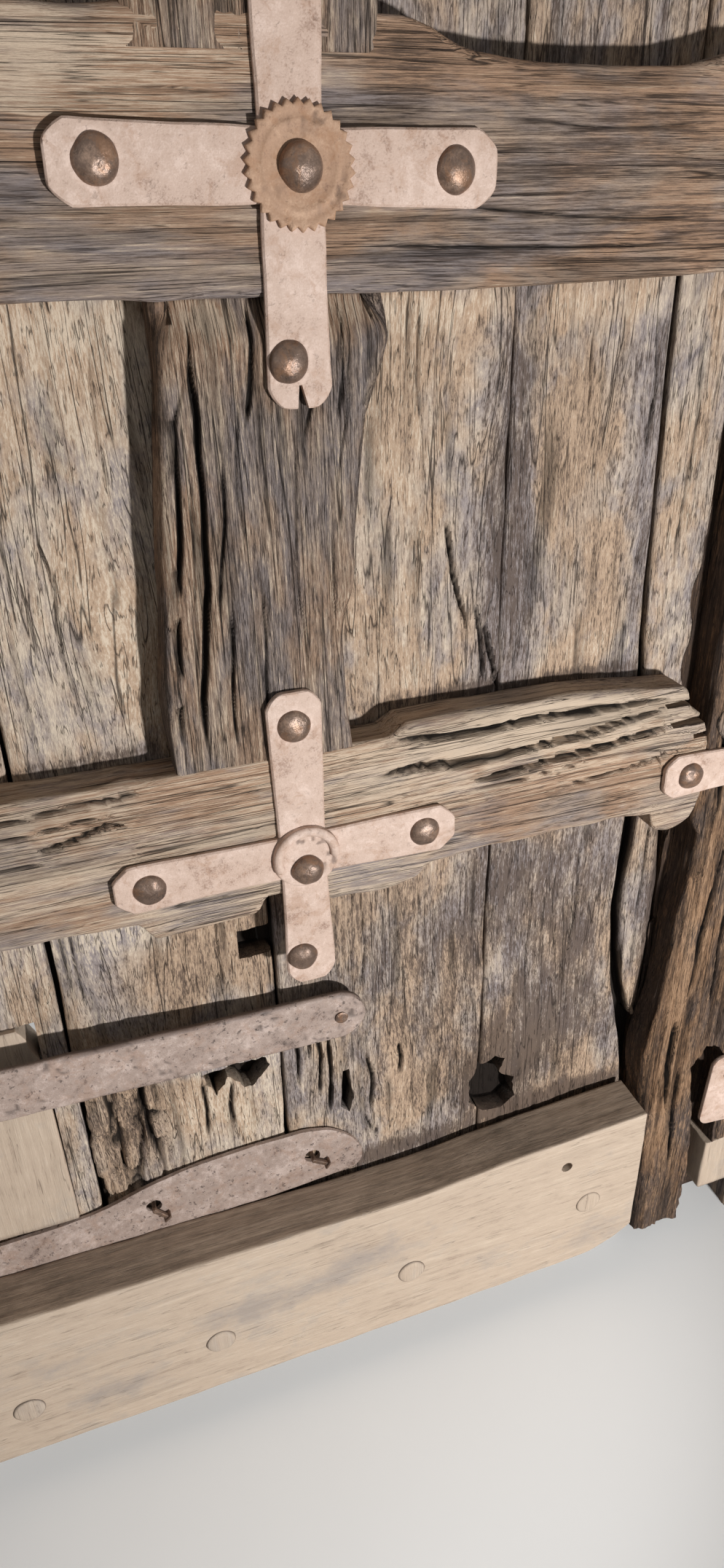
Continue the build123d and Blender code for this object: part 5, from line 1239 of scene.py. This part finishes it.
def peg_rings(x, z, radius, front, back, seed):
    """Faceted peg with a chamfered, slightly bruised head."""
    turn = np.linspace(0, 2 * pi, 28, endpoint=False)
    profile = [(0.25, 0.0), (0.55, 0.0001), (0.84, 0.0003), (0.92, 0.0009), (0.985, 0.0018), (1.0, 0.004),
               (1.0, back - front)]
    uneven = 1 + 0.035 * noise(np.cos(turn) * 2, np.sin(turn) * 2, seed * 3.1, 2)
    rings = []
    for share, depth in profile:
        bruise = 0.0005 * noise(np.cos(turn) * 2 * share, np.sin(turn) * 2 * share, seed * 1.7, 5) * (depth < 0.003)
        r = radius * share * (uneven if depth < 0.005 else 1.0)
        rings.append(np.column_stack([x + r * np.cos(turn), front + depth + bruise, z + r * np.sin(turn)]))
    return np.stack(rings)


# Ironwork

def iron_skin(points, facing, hammer, pit, seed):
    """Beat the points that face the front in and out as hammering and rust have, and say how pitted each is."""
    beaten, rough = noise_in(points, 0.018, seed), noise_in(points, 0.0045, seed + 1)
    where = np.clip(0.5 + 1.2 * noise_in(points, 0.024, seed + 3), 0, 1.3)
    pits = np.clip(noise_in(points, 0.0044, seed + 2) - 0.38, 0, None) * where
    skin, wear = points.copy(), np.zeros(points.shape)
    skin[..., 1] -= facing * (hammer * (beaten + 0.35 * rough) - pit * pits * 1.6)
    wear[..., 0] = np.clip(pits * 1.7 * (pit > 0), 0, 0.8)
    return skin, wear


BAR_ACROSS, BAR_BEVEL, BAR_SPACING = 16, 0.0014, 0.004
BAR_TIP, BAR_LIFT = 0.014, 0.0020      # length over which a tip narrows, and how far it bends up
BAR_NEAR = np.array([0.0, 0.0004, 0.0012, 0.0026, 0.0045, 0.0075, 0.0105])     # stations next to a tip
BAR_HALVES = (0.023, 0.020, 0.023)     # half widths at a tip, the crossing and the other tip
PAINTED_SIDE_SHADE = 0.9                      # how dark the shade painted on the sides of a strap is


def bar_section(across, hollow, bevel, thickness, low, shoulder):
    """Section of a flat bar, as (share of its half width, depth): its front, then its sides and back."""
    front = [(offset, hollow * offset * offset) for offset in np.linspace(-1, 1, across)]
    return np.array(front + [(1, bevel), (1, low), (shoulder, thickness), (0, thickness), (-shoulder, thickness),
                             (-1, low), (-1, bevel)])


def bar_rings(path, y_front, thickness, seed, clip):
    """Flat bar along a path of (x, z) points in metres, with tips between rounded and clipped, and worn edges."""
    path = np.array(path, float)
    marks = np.concatenate([[0], np.cumsum(np.hypot(*np.diff(path, axis=0).T))])
    total = marks[-1]
    body = np.linspace(0.0135, total - 0.0135, max(3, round(total / BAR_SPACING)))
    u = np.concatenate([BAR_NEAR, body, total - BAR_NEAR[::-1]])
    x, z = np.interp(u, marks, path[:, 0]), np.interp(u, marks, path[:, 1])
    across_x, across_z = -np.gradient(z, u), np.gradient(x, u)
    length = np.hypot(across_x, across_z)
    across_x, across_z = across_x / length, across_z / length
    half = np.interp(u, marks, BAR_HALVES) * (1 + 0.025 * noise(u / 0.035, 1.7, 0.0, seed))
    for end in (u, total - u):
        inside = np.clip(BAR_TIP - end, 0, BAR_TIP)
        half = half - (1 - clip) * (BAR_TIP - np.sqrt(np.clip(BAR_TIP**2 - inside**2, 0, None))) - clip * inside * 0.95
    profile = bar_section(BAR_ACROSS, 0.0, BAR_BEVEL, thickness, thickness - BAR_BEVEL * 0.5, 0.97)
    inset = np.zeros(len(profile))
    inset[[0, BAR_ACROSS - 1]] = BAR_BEVEL
    v = profile[None, :, 0] * (half[:, None] - inset[None, :])
    depth = np.broadcast_to(profile[None, :, 1], v.shape).copy()
    ends = np.minimum(u, total - u)[:, None]
    depth += np.clip(1 - ends / 0.0012, 0, 1) * BAR_BEVEL * 0.7 * (profile[None, :, 1] < BAR_BEVEL)
    crown = 0.0005 * (1 - profile[None, :, 0] ** 2) * (profile[None, :, 1] == 0)
    rise = BAR_LIFT * (np.abs(u - total / 2) / (total / 2))[:, None] ** 3
    points = np.stack([x[:, None] + across_x[:, None] * v, y_front + depth - crown - rise,
                       z[:, None] + across_z[:, None] * v], -1)
    skin, wear = iron_skin(points, profile[:, 1] < thickness / 2, 0.0003, 0.0, seed)
    wear[..., 2] = np.clip((np.abs(profile[None, :, 0]) - 0.80) / 0.20, 0, 1) + np.clip(1 - ends / 0.004, 0, 1)
    # Painted shade on the sides of the bar.
    wear[:, profile[:, 1] > BAR_BEVEL * 1.1, 0] = PAINTED_SIDE_SHADE
    return skin, wear


def iron_piece(parts, name, material, grain=None):
    """One mesh from several skins of points, each with its wear, and its own place in the grain if it has one."""
    blank = Blank()
    for points, _ in parts:
        blank.tube(points)
    mesh = blank.mesh(name)
    wear = np.concatenate([wear.reshape(-1, 3) for _, wear in parts])
    write_attributes(mesh, coordinates(mesh) if grain is None else grain, wear)
    return place_in_scene(mesh, name, material)


def arms(node):
    """Tips of a strap cross or tee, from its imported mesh: left, right, foot and top, in metres."""
    points = coordinates(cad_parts[node].data)[:, [0, 2]]
    low, high = points.min(0), points.max(0)

    def tip(axis, value):
        near = points[np.abs(points[:, axis] - value) < 0.0006]
        other = 1 - axis
        middle = (near[:, other].min() + near[:, other].max()) / 2
        return (value, middle) if axis == 0 else (middle, value)

    return tip(0, low[0]), tip(0, high[0]), tip(1, low[1]), tip(1, high[1])


def crossing(left, right, foot, top):
    """Point where the line between two tips meets the line between the other two."""
    (x1, z1), (x2, z2), (x3, z3), (x4, z4) = left, right, foot, top
    across, up = np.array([x2 - x1, z2 - z1]), np.array([x4 - x3, z4 - z3])
    t = np.linalg.solve(np.column_stack([across, -up]), np.array([x3 - x1, z3 - z1]))[0]
    return x1 + t * across[0], z1 + t * across[1]


def nail_places(node):
    """Middle, radius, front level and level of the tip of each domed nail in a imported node."""
    found = []
    for group in clusters(node, NAIL_REACH):
        front = group[:, 1].min()
        head = group[group[:, 1] < front + HEAD_DEPTH]
        low, high = head.min(0), head.max(0)
        radius = (high[0] - low[0]) / 2
        found.append(((low[0] + high[0]) / 2, (low[2] + high[2]) / 2, radius, front, group[:, 1].max()))
    return found


def mark_nails(piece, nails):
    """Pale worn ring on the strap round each nail."""
    points = coordinates(piece.data)
    flat = np.zeros(points.size, np.float32)
    piece.data.attributes["wear"].data.foreach_get("vector", flat)
    wear = flat.reshape(-1, 3)
    for x, z, radius, _, _ in nails:
        rim = np.hypot(points[:, 0] - x, points[:, 2] - z) - radius
        wear[:, 1] = np.maximum(wear[:, 1], np.clip(1 - np.abs(rim - 0.0012) / 0.002, 0, 1) * 0.8)
    piece.data.attributes["wear"].data.foreach_set("vector", wear.ravel())


CROSS_SPLIT = [(-1, 15), (1, 15), (6, -3), (-3, -3)]   # notch in the middle cross's foot, round the tip, in millimetres


class DOOR_OT_crosses(bpy.types.Operator):
    """Strap crosses on the muntins and tees on the stiles"""
    bl_idname = "door.crosses"
    bl_label = "Crosses and tees"

    def execute(self, context):
        finish = finishes(context.scene.door_look)["strap_iron"]
        nails = nail_places("cross_nails")
        nodes = ["cross_lower", "cross_middle", "cross_upper"]
        nodes += [f"tee_{level}_{word}" for level in ("lower", "middle", "upper") for word in ("left", "right")]
        for seed, node in enumerate(nodes):
            left, right, foot, top = arms(node)
            centre = crossing(left, right, foot, top)
            level, upright = [iron_piece([bar_rings(path, face, thickness, seed, clip)], node + "_forged", finish)
                              for path, face, thickness, clip in (
                                  ([left, centre, right], IRON_FACE, 0.005, 0.8 if node == "cross_lower" else 0.5),
                                  ([foot, centre, top], IRON_FACE + 0.00015, 0.00485, 0.35))]
            piece = cut(level, upright, "UNION")
            if node == "cross_middle":
                split = [(foot[0] / MM + across, foot[1] / MM + up) for across, up in CROSS_SPLIT]
                cut(piece, prism(split, IRON_FACE - 0.01, IRON_FACE + 0.01, finish))
            piece.data.set_sharp_from_angle(angle=radians(38))
            mark_nails(piece, nails)
            hand_over(piece, "leaf", "strap_iron", [node])
        return {"FINISHED"}


def turned(x, z, profile, around=40, wobble=0.0, seed=0, teeth=0, tooth=0.0):
    """Skin turned about an axis through the door from a profile of (radius, level) pairs."""
    turn = np.linspace(0, 2 * pi, around, endpoint=False)
    widest = max(r for r, _ in profile)
    rings = []
    for r, y in profile:
        radius = r * (1 + wobble * noise(np.cos(turn) * 1.5, np.sin(turn) * 1.5, seed * 2.3, 3))
        if teeth:
            bite = np.abs(((turn * teeth / (2 * pi)) % 1.0) * 2 - 1)
            radius = radius - tooth * bite * np.clip((r / widest - 0.86) / 0.14, 0, 1)
        rings.append(np.column_stack([x + radius * np.cos(turn), np.full(around, y), z + radius * np.sin(turn)]))
    return np.stack(rings)


def dome(radius, height, seat):
    """Profile of a hammered nail head on its seat."""
    profile = [(radius * 0.3, seat + 0.0002), (radius * 0.97, seat + 0.0002), (radius, seat - 0.0005)]
    for t in np.linspace(0.12, 0.97, 9):
        profile.append((radius * cos(t * pi / 2) ** 0.85, seat - 0.0005 - (height - 0.0005) * sin(t * pi / 2)))
    return profile


DOMES = {"boss_nails": (0.62, 0.88)}   # height of a head by its packed radius, and how much narrower it is here
USUAL_DOME = (0.57, 1.0)
STRAP_NAIL = (0.0065, 0.0016)          # radius and height of the low nail near the tip of a hinge strap
SHANK_HALF = 0.003


class DOOR_OT_nails(bpy.types.Operator):
    """Domed nails with square shanks, hammered a little out of round"""
    bl_idname = "door.nails"
    bl_label = "Nails"

    def execute(self, context):
        look = finishes(context.scene.door_look)
        corners = [(SHANK_HALF * dx, SHANK_HALF * dz) for dx, dz in ((-1, -1), (1, -1), (1, 1), (-1, 1))]
        for node, body in (("cross_nails", "leaf"), ("boss_nails", "leaf"), ("hinge_nails", "leaf"),
                           ("small_nails", "leaf"), ("frame_nails", "frame")):
            parts = []
            share, narrowed = DOMES.get(node, USUAL_DOME)
            for n, (x, z, radius, top, tip) in enumerate(nail_places(node)):
                height = radius * share
                seat = top + height
                radius *= narrowed
                if node == "hinge_nails" and x > 0:
                    radius, height = STRAP_NAIL
                head = turned(x, z, dome(radius, height, seat), wobble=0.05, seed=n + len(node))
                head[..., 1] += 0.0006 * noise_in(head, 0.006, n)
                shank = np.array([[(x + dx, y, z + dz) for dx, dz in corners] for y in (seat, seat + 0.012, tip)])
                parts += [(part, np.zeros(part.shape)) for part in (head, shank)]
            hand_over(iron_piece(parts, node + "_domed", look["dark_iron"]), body, "dark_iron", [node])
        return {"FINISHED"}


# Front of a toothed rosette from its rim inwards, as (distance in from the rim, level behind the front)
ROSETTE_RIM = [(0.0, 0.0014), (0.0012, 0.0003), (0.0035, 0.0), (0.0065, 0.0005), (0.0085, 0.0012), (0.0105, 0.0004)]
# The same further in, as (radius, level behind the front)
ROSETTE_DISH = [(0.0240, 0.0001), (0.0225, 0.0006), (0.0200, 0.0014), (0.0150, 0.0016), (0.0100, 0.0016),
                (0.0040, 0.0016)]


def round_of(node):
    """Middle, radius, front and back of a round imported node."""
    low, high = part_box(node)
    return (low.x + high.x) / 2, (low.z + high.z) / 2, (high.x - low.x) / 2, low.y, high.y


class DOOR_OT_rosettes(bpy.types.Operator):
    """Toothed rosettes and the plain one whose raised ring is partly broken off"""
    bl_idname = "door.rosettes"
    bl_label = "Rosettes"

    def execute(self, context):
        look = finishes(context.scene.door_look)
        for seed, node in enumerate(("rosette_middle", "rosette_upper")):
            x, z, r, front, back = round_of(node)
            profile = [(0.004, back), (0.033, back), (r - 0.0006, back - 0.0004), (r, back - 0.0012)]
            profile += [(r - inwards, front + level) for inwards, level in ROSETTE_RIM]
            profile += [(radius, front + level) for radius, level in ROSETTE_DISH]
            rings = turned(x, z, profile, 180, 0.012, seed, 30, 0.0034)
            skin = iron_skin(rings, 1.0, 0.0003, 0.0002, 40 + seed)
            piece = iron_piece([skin], node + "_toothed", look["rusty_iron"])
            hand_over(piece, "leaf", "rusty_iron", [node])
        x, z, r, front, back = round_of("rosette_lower")
        face = back - 0.003
        disc = turned(x, z, [(0.004, back), (r - 0.0005, back), (r, back - 0.001), (r - 0.0008, face)]
                      + [(radius, face) for radius in np.linspace(r - 0.002, 0.004, 14)], 120, 0.01, 3)
        parts = [iron_skin(disc, 1.0, 0.0003, 0.0004, 44), broken_ring(x, z, r, face, front)]
        piece = iron_piece(parts, "rosette_lower_broken", look["strap_iron"])
        hand_over(piece, "leaf", "rusty_iron", ["rosette_lower"])
        return {"FINISHED"}


def broken_ring(x, z, r, face, front):
    """Raised ring over the upper two thirds of the plain rosette, thinned where it broke."""
    turn = np.radians(np.linspace(-12, 208, 70))
    end = np.clip(np.minimum(turn - turn[0], turn[-1] - turn) / 0.12, 0.25, 1)
    width, height = 0.0044 * end, (face - front + 0.0012) * end
    middle = r - 0.0046
    rings = []
    for k in np.linspace(0, 2 * pi, 12, endpoint=False):
        across = middle + width * np.cos(k)
        level = face + 0.0004 - (height + 0.0004) * np.clip(np.sin(k), 0, 1) ** 0.7
        rings.append(np.column_stack([x + across * np.cos(turn), level, z + across * np.sin(turn)]))
    return iron_skin(np.stack(rings, 1), 1.0, 0.0004, 0.0005, 46)


HINGE_X = -LEAF_HALF - 0.003
HINGE_Y = TIMBER_FACE - 0.0155
EYE_OUTER, EYE_INNER, EYE_HALF = 0.014, 0.00806, 0.030
STRAP_TIP, STRAP_HALF, STRAP_THICK, STRAP_BEVEL, STRAP_ACROSS = 0.055, 0.028, 0.008, 0.0022, 22
TIP_ZONE = 0.030                       # length of a strap's tip that has closer stations


def strap_rings(z, drop, bent, seed):
    """Long strap of a hinge: flat on the stile, then sinking and bent back a little towards its tip."""
    total = STRAP_TIP - HINGE_X
    tip = total - TIP_ZONE * np.cos(np.linspace(0, pi / 2, 14))
    u = np.concatenate([np.linspace(0, total - TIP_ZONE, 190), tip[1:]])
    u[-1] = total - 0.0003
    x = HINGE_X + u
    middle = z - drop * u / total
    near = np.clip(STRAP_HALF - (total - u), 0, STRAP_HALF)
    half = np.sqrt(np.clip(STRAP_HALF**2 - near**2, 1e-7, None)) * (1 + 0.02 * noise(u / 0.03, 1.0, 0.0, seed))
    front = TIMBER_FACE - STRAP_THICK + np.clip(bent * (x + INNER) / (STRAP_TIP + INNER), 0, None)
    front = front - 0.0015 * np.clip(1 - (x - HINGE_X) / 0.012, 0, 1)
    profile = bar_section(STRAP_ACROSS, 0.0004, STRAP_BEVEL, STRAP_THICK, STRAP_THICK - 0.001, 0.9)
    edges = [0, STRAP_ACROSS - 1]
    inset = np.zeros(len(profile))
    inset[edges] = STRAP_BEVEL * 0.8
    depth = profile[:, 1].copy()
    depth[edges] = 0.0006
    v = profile[None, :, 0] * np.clip(half[:, None] - inset[None, :], 0.0004, None)
    points = np.stack([np.broadcast_to(x[:, None], v.shape), front[:, None] + depth[None, :], middle[:, None] + v], -1)
    skin, wear = iron_skin(points, profile[:, 1] < STRAP_THICK / 2, 0.0005, 0.0012, seed)
    # Painted shade on the sides of the strap.
    wear[:, profile[:, 1] > STRAP_BEVEL * 1.1, 0] = PAINTED_SIDE_SHADE
    rubbed = 0.4 + 0.8 * noise(points[..., 0] / 0.03, 0.0, 3.0, 5)
    wear[..., 2] = np.clip((np.abs(profile[None, :, 0]) - 0.86) / 0.12, 0, 1) * rubbed
    return skin, wear


def eye_rings(z):
    """Rolled eye of a hinge round its pin, as a thick ring."""
    inner, outer, half = EYE_INNER, EYE_OUTER, EYE_HALF
    profile = [(inner, -half + 0.0004), (inner, half - 0.0004), (inner + 0.0006, half), (outer - 0.001, half),
               (outer, half - 0.001), (outer, half / 3), (outer, -half / 3), (outer, -half + 0.001),
               (outer - 0.001, -half), (inner + 0.0006, -half)]
    radius, height = np.array(profile).T
    return np.stack([np.column_stack([HINGE_X + radius * cos(t), HINGE_Y + radius * sin(t), z + height])
                     for t in np.linspace(0, 2 * pi, 40, endpoint=False)])


class DOOR_OT_hinges(bpy.types.Operator):
    """Pitted hinge straps with rolled eyes, and the pintles that carry them"""
    bl_idname = "door.hinges"
    bl_label = "Hinges"

    def execute(self, context):
        look = finishes(context.scene.door_look)
        for node, z, drop, bent, seed in (("hinge_strap_lower", 0.542, 0.042, 0.023, 71),
                                          ("hinge_strap_upper", 1.405, 0.0, 0.0, 72)):
            piece = iron_piece([strap_rings(z, drop, bent, seed)], node + "_pitted", look["pitted_iron"])
            eye = Blank()
            eye.loop(eye_rings(z))
            mesh = eye.mesh("eye")
            write_attributes(mesh, coordinates(mesh), np.zeros((len(mesh.vertices), 3)))
            joined([piece, place_in_scene(mesh, "eye", look["pitted_iron"])])
            hand_over(piece, "leaf", "pitted_iron", [node])
        for node in ("pintle_lower", "pintle_upper"):
            softened(node, "frame", "dark_iron", "_forged", 0.0008)
        return {"FINISHED"}


def softened(node, body, slot, ending, width):
    """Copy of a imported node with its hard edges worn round."""
    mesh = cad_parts[node].data.copy()
    piece = place_in_scene(mesh, node + ending, finishes(bpy.context.scene.door_look)[slot])
    work = bmesh.new()
    work.from_mesh(mesh)
    bmesh.ops.remove_doubles(work, verts=work.verts, dist=1e-5)
    bmesh.ops.dissolve_limit(work, angle_limit=radians(1.0), verts=work.verts, edges=work.edges)
    work.to_mesh(mesh)
    work.free()
    shaped(piece, "BEVEL", width=width, segments=2, limit_method="ANGLE", angle_limit=radians(32))
    mesh = piece.data
    mesh.polygons.foreach_set("use_smooth", np.ones(len(mesh.polygons), bool))
    mesh.set_sharp_from_angle(angle=radians(40))
    points = coordinates(mesh)
    write_attributes(mesh, points, np.zeros(points.shape))
    return hand_over(piece, body, slot, [node])


OLD_STRAP_TOP = [(-340, 300), (-246, 305), (-172, 325), (-120, 334), (-61, 337), (-18, 337), (11, 331), (36, 314),
                 (48, 298), (53, 284)]
OLD_STRAP_FOOT = [(-340, 244), (-120, 252), (40, 262), (48, 267), (53, 278)]


STRAP_ROWS = 26                        # rows of points across the old strap
BENT_NAILS = ((-178, 294, 8), (-5, 298, 9))            # place and radius of the holes that the bent nails have torn


class DOOR_OT_old_strap(bpy.types.Operator):
    """Pitted strap caught behind the bottom board, with its two bent nails"""
    bl_idname = "door.old_strap"
    bl_label = "Old strap"

    def execute(self, context):
        finish = finishes(context.scene.door_look)["pitted_iron"]
        low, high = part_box("old_strap")
        x = np.concatenate([np.linspace(-0.3399, 0.030, 120), np.linspace(0.030, 0.0518, 14)[1:]])
        top, foot = curve(OLD_STRAP_TOP)(x), curve(OLD_STRAP_FOOT)(x)
        share = np.linspace(0, 1, STRAP_ROWS)
        front = np.stack([np.broadcast_to(x[:, None], (len(x), STRAP_ROWS)), np.full((len(x), STRAP_ROWS), low.y),
                          foot[:, None] + (top - foot)[:, None] * share], -1)
        front[:, [0, -1], 1] += 0.0009
        back = front[:, ::-5].copy()
        back[..., 1] = high.y
        rings = np.concatenate([front, back], 1)
        in_front = np.arange(rings.shape[1]) < STRAP_ROWS
        piece = iron_piece([iron_skin(rings, in_front, 0.0005, 0.0006, 75)], "old_strap_pitted", finish)
        for px, pz, radius in BENT_NAILS:
            edge = ragged([(px + radius * cos(t), pz + radius * sin(t)) for t in np.linspace(0, 5.7, 10)], 1.0, 6.0, 8)
            cut(piece, prism(edge, low.y - 0.01, high.y + 0.01, finish))
        piece.data.set_sharp_from_angle(angle=radians(45))
        hand_over(piece, "leaf", "pitted_iron", ["old_strap"])
        softened("bent_nails", "leaf", "dark_iron", "_curled", 0.0009)
        return {"FINISHED"}


class DOOR_OT_fittings(bpy.types.Operator):
    """Foot plate, sliding bolt with its plate, guides and keeper, and the drop ring on its rose"""
    bl_idname = "door.fittings"
    bl_label = "Plate, bolt and ring"

    def execute(self, context):
        softened("foot_plate", "leaf", "strap_iron", "_worn", 0.0012)
        for node, body in (("bolt_plate", "leaf"), ("bolt_guides", "leaf"), ("bolt_keeper", "frame"),
                           ("slide_bolt", "bolt"), ("ring_rose", "leaf"), ("ring_eyelet", "leaf"),
                           ("pull_ring", "ring")):
            softened(node, body, "dark_iron", "_worn", 0.0007)
        return {"FINISHED"}


# Stage

FLOOR_TINTS = ((0.70, 0.70, 0.69), (0.75, 0.75, 0.74))
FLOOR_GLOW, GLOW_STRENGTH = (1.0, 1.0, 0.99), 0.16
BACKDROP, DAYLIGHT = (0.86, 0.86, 0.85), (1.0, 0.99, 0.98)
FILM_WIDTH, NEAREST = 36.0, 0.02
# Each lamp: kind, place, aim and size
LAMPS = {
    "key": ("SPOT", (0.60, -1.58, 0.60), (0.0, 0.0, 1.15), 0.045),
    "fill": ("AREA", (-1.6, -2.2, 1.9), (0.0, 0.0, 1.0), 1.8),
    "behind": ("AREA", (0.9, 2.4, 1.8), (0.0, 0.0, 1.1), 1.8),
}
SPOT_ANGLE, SPOT_BLEND = radians(96), 0.25


class DOOR_OT_stage(bpy.types.Operator):
    """Pale floor, low key lamp, wide lamps on the left and behind, even daylight and the camera"""
    bl_idname = "door.stage"
    bl_label = "Stage"

    def execute(self, context):
        stage = context.scene.door_stage
        self.add_floor(context, stage)
        self.add_camera(context, stage)
        self.add_lamps(context, stage)
        self.add_daylight(context, stage)
        return {"FINISHED"}

    def add_floor(self, context, stage):
        bpy.ops.mesh.primitive_plane_add(size=stage.floor_size, location=(0, 0, 0))
        floor = context.active_object
        floor.name = "floor"
        shader = Shader("pale_floor")
        cloud = shader.speckle(shader.add("ShaderNodeTexCoord", {}, {}, "Object"), 3.0, 4.0, 0.6)
        tint = shader.mix(cloud, *[solid(colour) for colour in FLOOR_TINTS])
        glow = shader.mix(shader.shown(), solid((0.0, 0.0, 0.0)), solid(FLOOR_GLOW))
        floor.data.materials.append(shader.finish(Base_Color=tint, Roughness=0.85, Specular_IOR_Level=0.2,
                                                  Emission_Color=glow, Emission_Strength=GLOW_STRENGTH))

    def add_camera(self, context, stage):
        data = bpy.data.cameras.new("camera")
        data.lens, data.sensor_width, data.clip_start = stage.lens, FILM_WIDTH, NEAREST
        camera = bpy.data.objects.new("camera", data)
        yaw, pitch, roll = stage.yaw, stage.pitch, stage.roll
        ahead = Vector((sin(yaw) * cos(pitch), cos(yaw) * cos(pitch), -sin(pitch)))
        level = Vector((cos(yaw), -sin(yaw), 0.0))
        above = level.cross(ahead)
        right = cos(roll) * level + sin(roll) * above
        up = -sin(roll) * level + cos(roll) * above
        turn = Matrix((right, up, -ahead)).transposed().to_4x4()
        camera.matrix_world = Matrix.Translation(stage.eye) @ turn
        context.scene.collection.objects.link(camera)
        context.scene.camera = camera
        context.scene.view_settings.view_transform = "Standard"

    def add_lamps(self, context, stage):
        powers = {"key": stage.key_power, "fill": stage.fill_power, "behind": stage.back_power}
        for name, (kind, place, aim, size) in LAMPS.items():
            data = bpy.data.lights.new(name, kind)
            data.energy = powers[name]
            if kind == "SPOT":
                data.shadow_soft_size, data.spot_size, data.spot_blend = size, SPOT_ANGLE, SPOT_BLEND
            else:
                data.shape, data.size = "DISK", size
            lamp = bpy.data.objects.new(name, data)
            lamp.location = place
            lamp.rotation_euler = (Vector(aim) - Vector(place)).to_track_quat("-Z", "Y").to_euler()
            context.scene.collection.objects.link(lamp)

    def add_daylight(self, context, stage):
        """Even light from all round, behind which the camera sees a pale backdrop."""
        world = bpy.data.worlds.new("studio")
        context.scene.world = world
        nodes = Nodes(world)
        light = nodes.add("ShaderNodeBackground", {}, {0: solid(DAYLIGHT), 1: stage.daylight})
        backdrop = nodes.add("ShaderNodeBackground", {}, {0: solid(BACKDROP)})
        either = nodes.add("ShaderNodeMixShader", {}, {0: nodes.shown(), 1: light, 2: backdrop})
        nodes.add("ShaderNodeOutputWorld", {}, {0: either})


def colour_property(name, description, value):
    return FloatVectorProperty(name=name, description=description, default=value, size=3, min=0, max=1, subtype="COLOR")


class DoorLook(bpy.types.PropertyGroup):
    plank_light: colour_property("Plank, light", "Ridges of the planks' grain", (0.70, 0.585, 0.455))
    plank_warm: colour_property("Plank, warm", "Brown patches of the planks", (0.46, 0.325, 0.225))
    plank_middle: colour_property("Plank, middle", "Usual colour of the planks", (0.46, 0.372, 0.30))
    plank_grey: colour_property("Plank, grey", "Silvered patches of the planks", (0.28, 0.243, 0.245))
    plank_dark: colour_property("Plank, dark", "Soft bands of the planks' grain", (0.10, 0.07, 0.055))
    framing_light: colour_property("Framing, light", "Ridges of the framing's grain", (0.60, 0.475, 0.355))
    framing_warm: colour_property("Framing, warm", "Brown patches of the framing", (0.32, 0.20, 0.13))
    framing_middle: colour_property("Framing, middle", "Usual colour of the framing", (0.31, 0.23, 0.175))
    framing_grey: colour_property("Framing, grey", "Silvered patches of the framing", (0.21, 0.18, 0.178))
    framing_dark: colour_property("Framing, dark", "Soft bands of the framing's grain", (0.062, 0.042, 0.032))
    strap_light: colour_property("Straps, light", "Dusty high spots of the crosses", (0.67, 0.515, 0.435))
    strap_middle: colour_property("Straps, middle", "Usual colour of the crosses", (0.54, 0.395, 0.318))
    strap_dark: colour_property("Straps, dark", "Worn and rusty spots of the crosses", (0.30, 0.19, 0.14))


class DoorStage(bpy.types.PropertyGroup):
    eye: FloatVectorProperty(name="Camera place", description="Where the camera stands", size=3, subtype="TRANSLATION",
                             unit="LENGTH", default=(-0.185, -0.74475, 1.175))
    yaw: FloatProperty(name="Yaw", description="Turn of the camera to the right", subtype="ANGLE", default=0.32685204)
    pitch: FloatProperty(name="Pitch", description="Tilt of the camera downwards", subtype="ANGLE", default=0.50509335)
    roll: FloatProperty(name="Roll", description="Lean of the camera", subtype="ANGLE", default=-0.02611162)
    lens: FloatProperty(name="Lens", description="Focal length for a 36 mm film", unit="CAMERA", default=22.782)
    floor_size: FloatProperty(name="Floor", description="Side of the floor", unit="LENGTH", default=9.0)
    key_power: FloatProperty(name="Key lamp", description="Power of the low lamp on the right", unit="POWER",
                             default=130.0)
    fill_power: FloatProperty(name="Fill lamp", description="Power of the wide lamp on the left", unit="POWER",
                              default=3.8)
    back_power: FloatProperty(name="Back lamp", description="Power of the wide lamp behind", unit="POWER",
                              default=40.0)
    daylight: FloatProperty(name="Daylight", description="Strength of the even light from all round", default=0.12)


class DOOR_PT_panel(bpy.types.Panel):
    """Pieces of the door and the values they are made from"""
    bl_label = "Arched oak door"
    bl_idname = "DOOR_PT_panel"
    bl_space_type = "VIEW_3D"
    bl_region_type = "UI"
    bl_category = "Door"

    def draw(self, context):
        column = self.layout.column(align=True)
        for operator in OPERATORS:
            column.operator(operator.bl_idname)
        for settings in (context.scene.door_look, context.scene.door_stage):
            box = self.layout.box()
            for key in settings.__annotations__:
                box.prop(settings, key)


OPERATORS = (DOOR_OT_stage, DOOR_OT_planks, DOOR_OT_rails, DOOR_OT_muntins, DOOR_OT_stiles, DOOR_OT_frame,
             DOOR_OT_new_wood, DOOR_OT_pegs, DOOR_OT_crosses, DOOR_OT_rosettes, DOOR_OT_nails, DOOR_OT_hinges,
             DOOR_OT_old_strap, DOOR_OT_fittings)
CLASSES = (DoorLook, DoorStage, *OPERATORS, DOOR_PT_panel)


def register():
    for item in CLASSES:
        bpy.utils.register_class(item)
    bpy.types.Scene.door_look = PointerProperty(type=DoorLook)
    bpy.types.Scene.door_stage = PointerProperty(type=DoorStage)


def unregister():
    del bpy.types.Scene.door_look
    del bpy.types.Scene.door_stage
    for item in reversed(CLASSES):
        bpy.utils.unregister_class(item)


def main():
    register()
    for operator in OPERATORS:
        group, name = operator.bl_idname.split(".")
        getattr(getattr(bpy.ops, group), name)()


if __name__ == "__main__":
    main()
